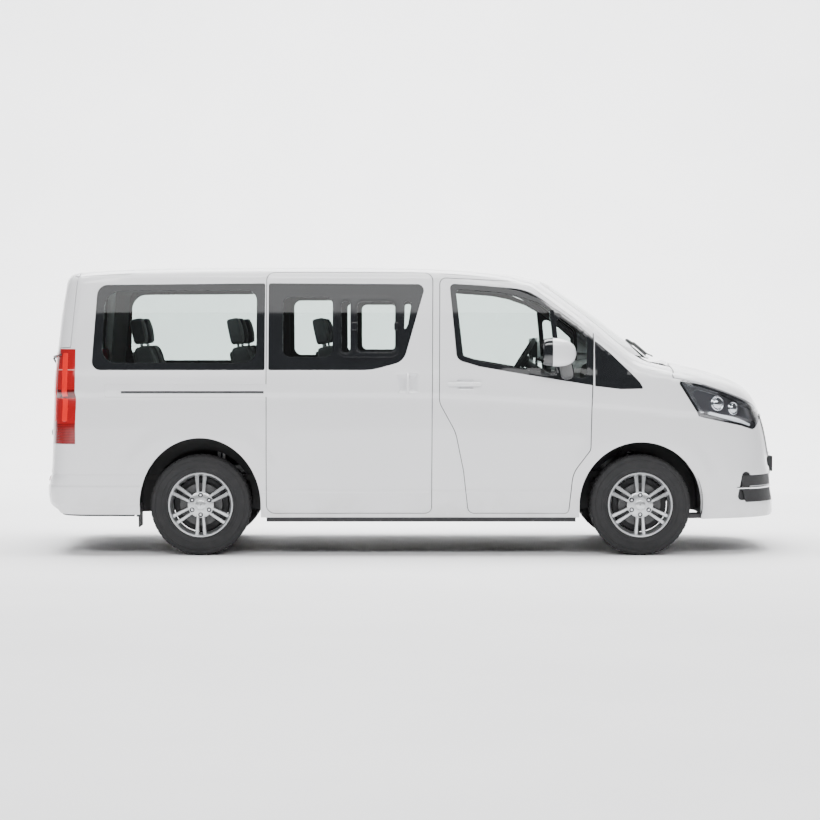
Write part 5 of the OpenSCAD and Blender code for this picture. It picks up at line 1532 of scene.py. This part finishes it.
cover = tinted("lamp_cover", (0.90, 0.91, 0.93))
shade, shader, lamp_dark = finish("lamp_dark", Roughness=0.28, Metallic=0.55)
spot = place(shade)
fine = bands(shade, "DIAGONAL", 45.0, spot)
vary(shade, shader, Base_Color=fine.mix((0.045, 0.045, 0.05), (0.13, 0.13, 0.14)),
    Normal=bump(shade, fine, 0.3, 0.002))
shade, shader, light_bar = finish("light_bar", Roughness=0.15, Emission_Strength=0.35)
flute = bands(shade, "X", 60.0)
vary(shade, shader, Base_Color=flute.mix((0.70, 0.72, 0.76), (0.85, 0.87, 0.90)),
    Emission_Color=flute.mix((0.6, 0.65, 0.7), (0.9, 0.95, 1.0)))
for side in both:
    sheet(f"headlamp_cover_{side}", on_side, side_loop(grown(lamp_outline, -0.001), 0.02), [], cover,
        "body", "lamp_clear", side, shared("headlamps", side), start=0.001, depth=0.0006, bevel=0.0,
        step=0.025)
    sheet(f"headlamp_body_{side}", on_side, side_loop(grown(lamp_outline, 0.012), 0.02), [], lamp_dark,
        "body", "lamp_clear", side, start=0.042, depth=0.01, step=0.025)
    sheet(f"headlamp_edge_{side}", on_side, side_loop(grown(lamp_outline, -0.0015), 0.02),
        [side_loop(grown(lamp_outline, -0.016), 0.02)], gloss_black, "body", "lamp_clear", side,
        start=0.0035, depth=0.038, step=0.02)
    strip_loop = side_loop(rounded([(nose - 0.607, 1.010, 0.006), (nose - 0.758, belt_z - 0.080, 0.006),
        (nose - 0.640, belt_z - 0.112), (nose - 0.470, belt_z - 0.166, 0.01),
        (nose - 0.480, belt_z - 0.182, 0.01), (nose - 0.650, belt_z - 0.134, 0.02),
        (nose - 0.704, belt_z - 0.120, 0.03), (nose - 0.580, 1.012, 0.006)]), 0.02)
    sheet(f"headlamp_strip_{side}", on_side, strip_loop, [], silver_trim, "body", "lamp_clear", side,
        start=0.012, depth=0.028, step=0.02)
    bar_loop = side_loop(rounded([(nose - 0.555, 1.000, 0.01), (nose - 0.330, 0.948, 0.008),
        (nose - 0.220, 0.912, 0.008), (nose - 0.215, 0.930, 0.008), (nose - 0.320, 0.968, 0.01),
        (nose - 0.540, 1.022, 0.01)]), 0.02)
    sheet(f"headlamp_bar_{side}", on_side, bar_loop, [], light_bar, "body", "lamp_clear", side, start=0.014,
        depth=0.02, step=0.02)
    lenses, cups = [], []
    round_way = np.arange(28) * 2 * math.pi / 28
    for x, z, r in ((nose - 0.470, 1.085, 0.040), (nose - 0.345, 1.048, 0.036)):
        u = run_of(run_at, x, z)
        here, out = skin_point(u, z, 0.040), skin_normal(u, z)
        a = out.cross(Vector((0, 0, 1))).normalized()
        b = a.cross(out)
        rings = []
        for t, k in ((0.0, 1.30), (0.006, 1.32), (0.010, 1.18), (0.008, 1.02)):
            rings.append([tuple(here + out * t + (a * math.cos(w) + b * math.sin(w)) * r * k)
                for w in round_way])
        cups.append(stacked(rings, (True, False)))
        dome = []
        for rise in np.radians(np.linspace(0, 80, 7)):
            dome.append([tuple(here + out * (0.004 + 0.022 * math.sin(rise)) + (
                a * math.cos(w) + b * math.sin(w)) * r * math.cos(rise)) for w in round_way])
        lenses.append(stacked(dome))
    moulding(f"headlamp_rings_{side}", joined(*cups), silver_trim, "body", side)
    moulding(f"headlamp_lenses_{side}", joined(*lenses), mirror_silver, "body", side)

# ---- Wheels and tyres ----------------------------------------------------------------
# Cast alloy wheels with six double spokes, six wheel nuts sunk round a plain cap, and a
# vented steel brake disc behind. Radial tyres with ribbed sidewalls and a grooved tread.

shade, shader, alloy = finish("cast_alloy", Metallic=0.85, Roughness=0.3)
vary(shade, shader, Base_Color=noise(shade, 9.0).mix((0.50, 0.51, 0.52), (0.62, 0.63, 0.64)),
     Roughness=noise(shade, 40.0) * 0.12 + 0.24)
shade, shader, tyre_rubber = finish("tyre_rubber", Roughness=0.72, Specular_IOR_Level=0.35)
spot = place(shade)
sipes = shade.node("ShaderNodeTexWave", {"wave_type": "RINGS", "rings_direction": "Y"},
    {"Vector": spot, "Scale": 9.0, "Distortion": 1.5})
vary(shade, shader, Base_Color=noise(shade, 14.0).mix((0.010, 0.010, 0.011), (0.021, 0.021, 0.022)),
    Normal=bump(shade, sipes, 0.15, 0.001))
shade, shader, disc_steel = finish("disc_steel", Metallic=0.8)
turned = shade.node("ShaderNodeTexNoise", {"noise_dimensions": "3D"},
    {"Vector": place(shade), "Scale": 160.0})
vary(shade, shader, Base_Color=turned.mix((0.05, 0.05, 0.052), (0.12, 0.12, 0.12)),
    Roughness=turned * 0.2 + 0.35)


def turned_part(profile, x, z, n=96, notch=None):
    """A closed profile of (radius, y) turned about the wheel's axis."""
    points = []
    for k in range(n):
        t = 2 * math.pi * k / n
        for i, (r, y) in enumerate(profile):
            rr = r - (notch(k, i) if notch else 0.0)
            points.append((x + rr * math.cos(t), y, z + rr * math.sin(t)))
    m = len(profile)
    faces = [(k * m + i, k * m + (i + 1) % m, (k + 1) % n * m + (i + 1) % m, (k + 1) % n * m + i)
        for k in range(n) for i in range(m)]
    return points, faces


tyre_r = (wheel_hi[2] - wheel_lo[2]) / 2
tread_y, tyre_half = (wheel_lo[1] + wheel_hi[1]) / 2, (wheel_hi[1] - wheel_lo[1]) / 2
rim_out_r, face_y = 0.228, tread_y - 0.088
barrel = [(rim_out_r, face_y - 0.010), (rim_out_r + 0.004, face_y - 0.006),
    (rim_out_r + 0.003, face_y + 0.004), (0.218, face_y + 0.010), (0.212, face_y + 0.050), (0.206, tread_y),
    (0.214, tread_y + 0.082), (rim_out_r, tread_y + 0.090), (rim_out_r - 0.006, tread_y + 0.094),
    (0.206, tread_y + 0.080), (0.200, tread_y), (0.203, face_y + 0.045), (0.212, face_y + 0.012),
    (0.216, face_y - 0.004), (0.222, face_y - 0.010)]
groove = 0.007
tread = []
for w, r in ((-0.094, 0.0035), (-0.072, 0.001), (-0.066, 0.001), (-0.064, groove), (-0.054, groove),
    (-0.052, 0.0), (-0.024, 0.0), (-0.022, groove), (-0.012, groove), (-0.010, 0.0), (0.010, 0.0),
    (0.012, groove), (0.022, groove), (0.024, 0.0), (0.052, 0.0), (0.054, groove), (0.064, groove),
    (0.066, 0.001), (0.072, 0.001), (0.094, 0.0035)):
    tread.append((tyre_r - r, tread_y + w))
wall_shape = [(0.346, 0.104), (0.330, 0.1105), (0.322, 0.1110), (0.3205, 0.1095), (0.316, 0.1095),
    (0.3145, 0.1122), (0.296, 0.1125), (0.278, 0.1110), (0.2765, 0.1095), (0.272, 0.1095), (0.2705, 0.1105),
    (0.254, 0.1060), (0.246, 0.1010), (0.2445, 0.0985), (0.236, 0.0960), (0.229, 0.0930), (0.222, 0.0880)]
tyre_profile = [(r, tread_y - min(w, tyre_half))
    for r, w in wall_shape[::-1]] + tread + [(r, tread_y + min(w, tyre_half)) for r, w in wall_shape]


def tread_notch(k, i):
    """How deep the tread is cut at one step round the tyre and one place across it."""
    at = i - len(wall_shape)
    return 0.006 if (k % 5 == 0 and at in (0, 1, 2, 17, 18, 19)) or (
        k % 5 == 2 and at in (5, 6, 9, 10, 13, 14)) else 0.0


def spoke(x, z, angle, shift):
    """One blade of a double spoke, bowed out from the hub and splayed toward the rim."""
    rings = []
    for t in np.linspace(0, 1, 9):
        r = 0.050 + (0.221 - 0.050) * t
        off = shift * (0.0175 + 0.011 * t)
        w = 0.0105 + 0.0045 * t ** 2
        y = face_y + 0.012 - 0.010 * math.sin(math.pi * min(1.0, 0.25 + t * 0.8)) + 0.004 * t
        deep = 0.030 - 0.008 * t
        ring = []
        for dw, dy in ((-w, deep), (-w, 0.006), (-w * 0.62, 0.0005), (w * 0.62, 0.0005), (w, 0.006),
            (w, deep)):
            s = off + dw
            ring.append((x + r * math.cos(angle) - s * math.sin(angle), y + dy,
                z + r * math.sin(angle) + s * math.cos(angle)))
        rings.append(ring)
    return stacked(rings)


for place_x, end in ((front_x, "front"), (rear_x, "rear")):
    hub = turned_part([(0.004, face_y - 0.006), (0.030, face_y - 0.006), (0.0345, face_y - 0.003),
        (0.036, face_y + 0.001), (0.050, face_y + 0.001), (0.084, face_y + 0.003), (0.092, face_y + 0.008),
        (0.092, face_y + 0.040), (0.004, face_y + 0.045)], place_x, axle_z, 72)
    spokes = [spoke(place_x, axle_z, math.radians(90 + 60 * k), s) for k in range(6) for s in (-1, 1)]
    nut_seats, nuts = [], []
    for k in range(6):
        a = math.radians(90 + 60 * k)
        nx, nz = place_x + 0.070 * math.cos(a), axle_z + 0.070 * math.sin(a)
        nut_seats.append(turned_part([(0.0110, face_y + 0.0005), (0.0165, face_y - 0.0005),
            (0.0172, face_y + 0.001), (0.0172, face_y + 0.010), (0.0110, face_y + 0.010)], nx, nz, 24))
        nuts.append(turned_part([(0.0005, face_y - 0.006), (0.007, face_y - 0.006), (0.010, face_y - 0.002),
            (0.0104, face_y + 0.010), (0.0005, face_y + 0.010)], nx, nz, 6))
    disc = turned_part([(0.060, tread_y - 0.030), (0.150, tread_y - 0.030), (0.152, tread_y - 0.028),
        (0.152, tread_y - 0.006), (0.150, tread_y - 0.004), (0.060, tread_y - 0.004)], place_x, axle_z, 72)
    bell = turned_part([(0.010, tread_y - 0.052), (0.082, tread_y - 0.052), (0.086, tread_y - 0.048),
        (0.088, tread_y - 0.004), (0.010, tread_y - 0.004)], place_x, axle_z, 48)
    shield = turned_part([(0.095, tread_y + 0.012), (0.188, tread_y + 0.012), (0.192, tread_y + 0.002),
        (0.194, tread_y + 0.003), (0.190, tread_y + 0.016), (0.095, tread_y + 0.016)], place_x, axle_z, 72)
    valve = round_bar([(place_x + 0.202 * math.cos(2.1), face_y - 0.002, axle_z + 0.202 * math.sin(2.1)),
        (place_x + 0.190 * math.cos(2.1), face_y - 0.012, axle_z + 0.190 * math.sin(2.1))], 0.004, 10)
    for side in both:
        wheel = f"wheel_{end}_{side}"
        moulding(f"rim_{end}_{side}", joined(turned_part(barrel, place_x, axle_z), hub, *spokes), alloy,
            wheel, side, replaces=[wheel])
        moulding(f"wheel_nuts_{end}_{side}", joined(*nuts), silver_trim, wheel, side, bevel=0.0008)
        moulding(f"brake_disc_{end}_{side}", joined(disc, bell), disc_steel, wheel, side)
        moulding(f"nut_seats_{end}_{side}", joined(*nut_seats), dark_metal, wheel, side)
        moulding(f"brake_shield_{end}_{side}", shield, black_grain,
            f"knuckle_{side}" if end == "front" else "body", side)
        moulding(f"valve_{end}_{side}", valve, rubber, wheel, side)
        moulding(f"tyre_skin_{end}_{side}", turned_part(tyre_profile, place_x, axle_z, 240, tread_notch),
            tyre_rubber, wheel, side, replaces=[f"tyre_{end}_{side}"], flat=28)

# ---- Arch liners and sill strips -----------------------------------------------------
# Black moulded liners over each tyre, a black strip along the foot of each sill, and
# rubber seals behind the door gaps.

for side in both:
    for x, z, r, inner in ((front_x, axle_z + 0.017, 0.442, -0.50),
        (rear_x, axle_z + 0.028, 0.452, -0.655)):
        rings = []
        for t in np.radians(np.linspace(-11, 191, 40)):
            rings.append([(x + rr * math.cos(t), y, z + rr * math.sin(t))
                for rr, y in ((r, -half + 0.045), (r + 0.004, -half + 0.050), (r + 0.004, inner),
                (r - 0.095, inner), (r - 0.095, inner - 0.004), (r, inner - 0.004),
                (r, (inner - half) / 2))])
        moulding(f"arch_liner_{'front' if x > 0 else 'rear'}_{side}", stacked(rings), black_grain, "body",
            side)
    moulding(f"sill_strip_{side}", block((rear_x + 0.47, -half + 0.050, sill_z - 0.032),
        (front_x - 0.46, -half + 0.085, sill_z + 0.004)), black_grain, "body", side,
        bevel=0.004)
    for name, loop in (("front_door_seal", door_outline), ("sliding_door_seal", slide_outline)):
        sheet(f"{name}_{side}", on_side, grown(loop, 0.016), [grown(loop, -0.014)], rubber, "body",
            "black_plastic", side, start=0.022, depth=0.008)
sheet("tailgate_seal", on_side, grown(gate_outline, 0.014), [grown(gate_outline, -0.012)], rubber, "body",
    "black_plastic", start=0.024, depth=0.008)

sheet("bonnet_side_seal_right", on_side, side_loop(
    grown(bonnet_line + [(x, z + 0.02) for x, z in bonnet_line[::-1]], 0.004), 0.02), [], rubber, "body",
    "black_plastic", start=0.024, depth=0.006)

# ---- Wipers --------------------------------------------------------------------------
# Two black steel arms, each on a spindle through the cowl, with a rubber blade hinged to
# its middle; they park along the foot of the windscreen and meet near its centre.

wiper_lo, wiper_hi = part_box("wipers")
for side in both:
    spindle_at = (wiper_hi[0] - 0.02, wiper_lo[1] + 0.02)
    tip_at = (wiper_lo[0] + 0.008, -0.045)
    path = [(spindle_at[0] + (tip_at[0] - spindle_at[0]) * t,
        spindle_at[1] + (tip_at[1] - spindle_at[1]) * t) for t in np.linspace(0, 1, 14)]
    arm_lift = [-0.030, -0.030, -0.026] + [-0.022] * 8
    arm = [Vector(on_top([p], d)[0][:, 0]) for p, d in zip(path[:11], arm_lift)]
    blade = [Vector(on_top([p], -0.008)[0][:, 0]) for p in path[3:]]
    spine = [Vector(on_top([p], -0.016)[0][:, 0]) for p in path[3:]]
    root = arm[0]
    spindle = round_bar([root + Vector((0, 0, -0.05)), root + Vector((0, 0, 0.004))], 0.011, 20)
    moulding(f"wiper_{side}", joined(spindle, solid_bar(arm, slab(0.006, 0.003, 0.005)),
        solid_bar(spine, slab(0.004, 0.003, 0.0025)), solid_bar(blade,
        [(-0.001, -0.007), (0.001, -0.007), (0.003, 0.006), (-0.003, 0.006)])), black_grain, "body",
        side, replaces=shared("wipers", side))

# ---- Seats ---------------------------------------------------------------------------
# Four rows on black plinths. Each seat has a crowned cushion with two sewn channels, a
# back with the same channels and raised edges, and a headrest on two steel posts.

shade, shader, seat_cloth = finish("seat_cloth", Roughness=0.9, Sheen_Weight=0.25, Sheen_Roughness=0.5)
spot = place(shade)
warp = bands(shade, "Y", 260.0, spot)
weft = bands(shade, "Z", 260.0, spot)
weave = shade.math("MAXIMUM", warp, weft)
vary(shade, shader, Base_Color=(weave * 0.5 + noise(shade, 30.0) * 0.5).mix((0.020, 0.020, 0.023),
    (0.060, 0.060, 0.066)), Normal=bump(shade, weave, 0.35, 0.0006))


def pillow(size, channels=(), bolster=0.0, crown=0.03, pull=0.03, n=22):
    """A stuffed form on its back: rounded, crowned, sewn in channels, its sides drawn in."""
    half_size = [s / 2 for s in size]
    points, faces, found = [], [], {}
    ticks = np.linspace(-1, 1, n + 1)
    for axis in range(3):
        for sign in (-1, 1):
            grid = []
            for a in ticks:
                for b in ticks:
                    q = [0.0, 0.0, 0.0]
                    q[axis], q[(axis + 1) % 3], q[(axis + 2) % 3] = sign, a, b
                    key = tuple(round(v, 5) for v in q)
                    if key not in found:
                        found[key] = len(points)
                        p = np.array(q)
                        p = p / (np.abs(p) ** 6).sum() ** (1 / 6)
                        x, y, z = p
                        rise = crown * (1 - x * x) * (1 - y * y) if z > 0 else 0.0
                        if z > 0:
                            edge = (x ** 4 + y ** 4) ** 0.25
                            rise -= 0.006 * math.exp(-((edge - 0.80) / 0.035) ** 2)
                            for way, at in channels:
                                c = (x, y)[way]
                                rise -= 0.010 * math.exp(-((c - at) / 0.05) ** 2) * (edge < 0.84)
                            rise += bolster * step_up(np.array([abs(y)]), 0.50, 0.78)[0]
                        draw = 1 - pull * (1 - x * x) * (abs(y) > 0.9) - pull * (1 - y * y) * (abs(x) > 0.9)
                        points.append((x * half_size[0] * draw, y * half_size[1] * draw,
                            z * half_size[2] + rise))
                    grid.append(found[key])
            m = n + 1
            for i in range(n):
                for j in range(n):
                    quad = (grid[i * m + j], grid[(i + 1) * m + j], grid[(i + 1) * m + j + 1],
                        grid[i * m + j + 1])
                    faces.append(quad if sign > 0 else quad[::-1])
    return points, faces


def tipped(part, at, lean):
    """The part turned about Y so that its top faces forward by that many degrees, then set in place."""
    c, s = math.cos(math.radians(lean)), math.sin(math.radians(lean))
    return [(at[0] + x * c + z * s, at[1] + y, at[2] - x * s + z * c) for x, y, z in part[0]], part[1]


floor_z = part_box("front_seats")[0][2]
rows = {"front_seats": ((-0.42, 0.42), 0.52), "second_row_seats": ((-0.59, -0.125, 0.60), 0.45),
    "third_row_seats": ((-0.59, -0.125, 0.60), 0.45),
    "fourth_row_seats": ((-0.675, -0.225, 0.225, 0.675), 0.44)}
for row, (places, width) in rows.items():
    seat_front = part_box(row)[1][0]
    row_name = row.replace("_seats", "")
    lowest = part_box(row)[0][1]
    if row == "fourth_row_seats":
        places = (lowest + width / 2, -lowest - width / 2) if lowest > -0.6 else places
    for number, y in enumerate(places, 1):
        tag = f"{row_name}_{number}"
        base = seat_front - 0.39
        parts = {"cushion": (tipped(pillow((0.49, width - 0.02, 0.125), [(1, -0.45), (1, 0.45), (0, 0.1)],
            0.012), (base + 0.148, y, floor_z + 0.292), -4), 0.85),
            "back": (tipped(pillow((0.66, width - 0.03, 0.115),
            [(1, -0.45), (1, 0.45), (0, -0.2), (0, 0.35)], 0.016), (base - 0.150, y, floor_z + 0.610), 76),
            0.85), "headrest": (tipped(pillow((0.19, 0.25, 0.090), [], 0.0, 0.012, 0.02, 14),
            (base - 0.252, y, floor_z + 1.035), 78), 0.95)}
        for kind, (form, fill) in parts.items():
            mesh = make_mesh(f"{kind}_{tag}", *form)
            piece = fixed_piece(f"{kind}_{tag}", mesh, seat_cloth, "body",
                [row] if kind == "cushion" and number == 1 else [])
        posts = [round_bar([(base - 0.225, y + dy, floor_z + 0.90),
            (base - 0.245, y + dy, floor_z + 0.985)], 0.006, 12) for dy in (-0.05, 0.05)]
        plinth = block((base - 0.05, y - width / 2 + 0.06, floor_z + 0.004),
            (base + 0.34, y + width / 2 - 0.06, floor_z + 0.235))
        shell = tipped(pillow((0.60, width - 0.06, 0.03), [], 0.0, 0.004, 0.0, 10),
            (base - 0.205, y, floor_z + 0.595), 76)
        moulding(f"seat_posts_{tag}", joined(*posts), silver_trim, "body")
        moulding(f"seat_plinth_{tag}", plinth, black_grain, "body", bevel=0.02)
        moulding(f"seat_shell_{tag}", shell, black_grain, "body")

# ---- Dashboard and steering wheel ----------------------------------------------------
# The moulded dashboard keeps the frame's form. A hooded dial cluster and a centre screen
# sit on it; the steering wheel has a padded rim, three spokes and a plain boss.

wheel_centre = (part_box("steering_wheel")[0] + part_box("steering_wheel")[1]) / 2
lean = math.radians(32)
rim_path, hoop_r = [], 0.172
across_way = Vector((0, 1, 0))
up_way = Vector((math.sin(lean), 0, math.cos(lean)))
rim_centre = wheel_centre + Vector((-0.012, 0, 0.02))
for k in range(64):
    t = 2 * math.pi * k / 64
    rim_path.append(rim_centre + (across_way * math.cos(t) + up_way * math.sin(t)) * hoop_r)
hoop = round_bar(rim_path, 0.014, 12, True, up=(1, 0, 0))
spoke_bars = []
for t in (0.15, math.pi - 0.15, -math.pi / 2):
    way = across_way * math.cos(t) + up_way * math.sin(t)
    spoke_bars.append(solid_bar([rim_centre + way * 0.04, rim_centre + way * (hoop_r - 0.006)],
        slab(0.014, 0.006, 0.010), up=(1, 0, 0)))
boss = tipped(pillow((0.10, 0.13, 0.05), [], 0.0, 0.008, 0.02, 12),
    tuple(rim_centre + Vector((0.02, 0, -0.01))), -90 + 32)
column = round_bar([rim_centre, rim_centre + Vector((0.15, 0, -0.10))], 0.03, 24)
moulding("steering_wheel_rim", joined(hoop, *spoke_bars, boss, column), black_grain, "steering_wheel",
    replaces=["steering_wheel"], flat=50)
dash_lo, dash_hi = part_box("dashboard")
hood = [(dash_lo[0] + 0.16 + 0.02 * math.sin(t), wheel_centre[1] + 0.17 * math.cos(t),
    dash_hi[2] - 0.012 + 0.030 * math.sin(t)) for t in np.linspace(0, math.pi, 16)]
moulding("dial_hood", solid_bar(hood, slab(0.05, 0.006)), black_grain, "body", subdivide=1)
moulding("centre_screen", block((dash_lo[0] + 0.115, -0.13, dash_hi[2] - 0.13),
    (dash_lo[0] + 0.135, 0.13, dash_hi[2] + 0.01)), gloss_black, "body", bevel=0.006)

# ---- Cabin lining --------------------------------------------------------------------
# A pale headlining pressed to the roof, moulded side trims, and a rubber floor mat.

shade, shader, headlining = finish("headlining", Roughness=0.95)
felt = noise(shade, 350.0, 2.0)
vary(shade, shader, Base_Color=felt.mix((0.42, 0.42, 0.42), (0.52, 0.52, 0.51)),
    Normal=bump(shade, felt, 0.3, 0.0005))
roof_loop = rounded([(tail + 0.40, -0.62, 0.06), (front_x - 0.55, -0.60, 0.06),
    (front_x - 0.50, 0.60, 0.06), (tail + 0.40, 0.62, 0.06)])
lining("headlining", on_top, roof_loop, [], "body", depth=0.085, step=0.08, material=headlining)
for side in both:
    trim_low = floor_z + 0.02
    over_wheel = oval(rear_x, axle_z + 0.028, 0.474, 0.474)
    rear_trim = rounded([(slide_x0 - 0.02, trim_low, 0.03), (slide_x0 - 0.02, window_top_z + 0.02, 0.03),
        (tail + 0.28, window_top_z - 0.01, 0.03), (tail + 0.24, trim_low, 0.03)])
    lining(f"rear_side_trim_{side}", on_side, rear_trim, [grown(quarter_outline, -0.012), over_wheel],
        "body", side=side, depth=0.050)
mat_shape = [(tail + 0.34, -0.60), (rear_x + 0.48, -0.60), (rear_x + 0.48, -0.80), (front_x - 0.52, -0.80),
    (front_x - 0.52, 0.80), (rear_x + 0.48, 0.80), (rear_x + 0.48, 0.60), (tail + 0.34, 0.60)]
mat_points = [(x, y, z) for z in (floor_z + 0.001, floor_z + 0.006) for x, y in mat_shape]
count = len(mat_shape)
mat_faces = [tuple(range(count))[::-1], tuple(range(count, 2 * count))] + [
    (i, (i + 1) % count, (i + 1) % count + count, i + count) for i in range(count)]
moulding("floor_mat", (mat_points, mat_faces), rubber, "body", bevel=0.002)

# ---- Underbody -----------------------------------------------------------------------
# Floor, frame, tank, exhaust and running gear keep the frame's forms: steel under black
# chassis paint, the tank's moulded shell and the exhaust's scaled bare steel.

shade, shader, chassis_black = finish("chassis_black")
grime = noise(shade, 5.0, 5.0)
vary(shade, shader, Base_Color=grime.mix((0.012, 0.012, 0.013), (0.030, 0.029, 0.028)),
    Roughness=grime * 0.3 + 0.45, Normal=bump(shade, noise(shade, 60.0), 0.12, 0.001))
shade, shader, bare_steel = finish("bare_steel", Metallic=0.8)
scale = noise(shade, 12.0, 5.0)
vary(shade, shader, Base_Color=scale.mix((0.16, 0.13, 0.11), (0.34, 0.33, 0.32)),
    Roughness=scale * 0.3 + 0.35)
finishes = {"chassis_metal": chassis_black, "black_plastic": black_grain, "tyre": tyre_rubber,
    "upholstery": seat_cloth, "alloy": alloy, "body_paint": white_paint, "painted_plastic": white_paint,
    "window_glass": side_glass, "lamp_clear": cover, "lamp_red": lamp_red}
for part in frame["record"]["subparts"]:
    node = frame["nodes"][part["node"]]
    node.data.materials.clear()
    node.data.materials.append(bare_steel if part["node"] == "exhaust" else finishes[part["material_slot"]])

out = {"cad": [list(p) for p in cad_box], "visual": [list(p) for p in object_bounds()]}
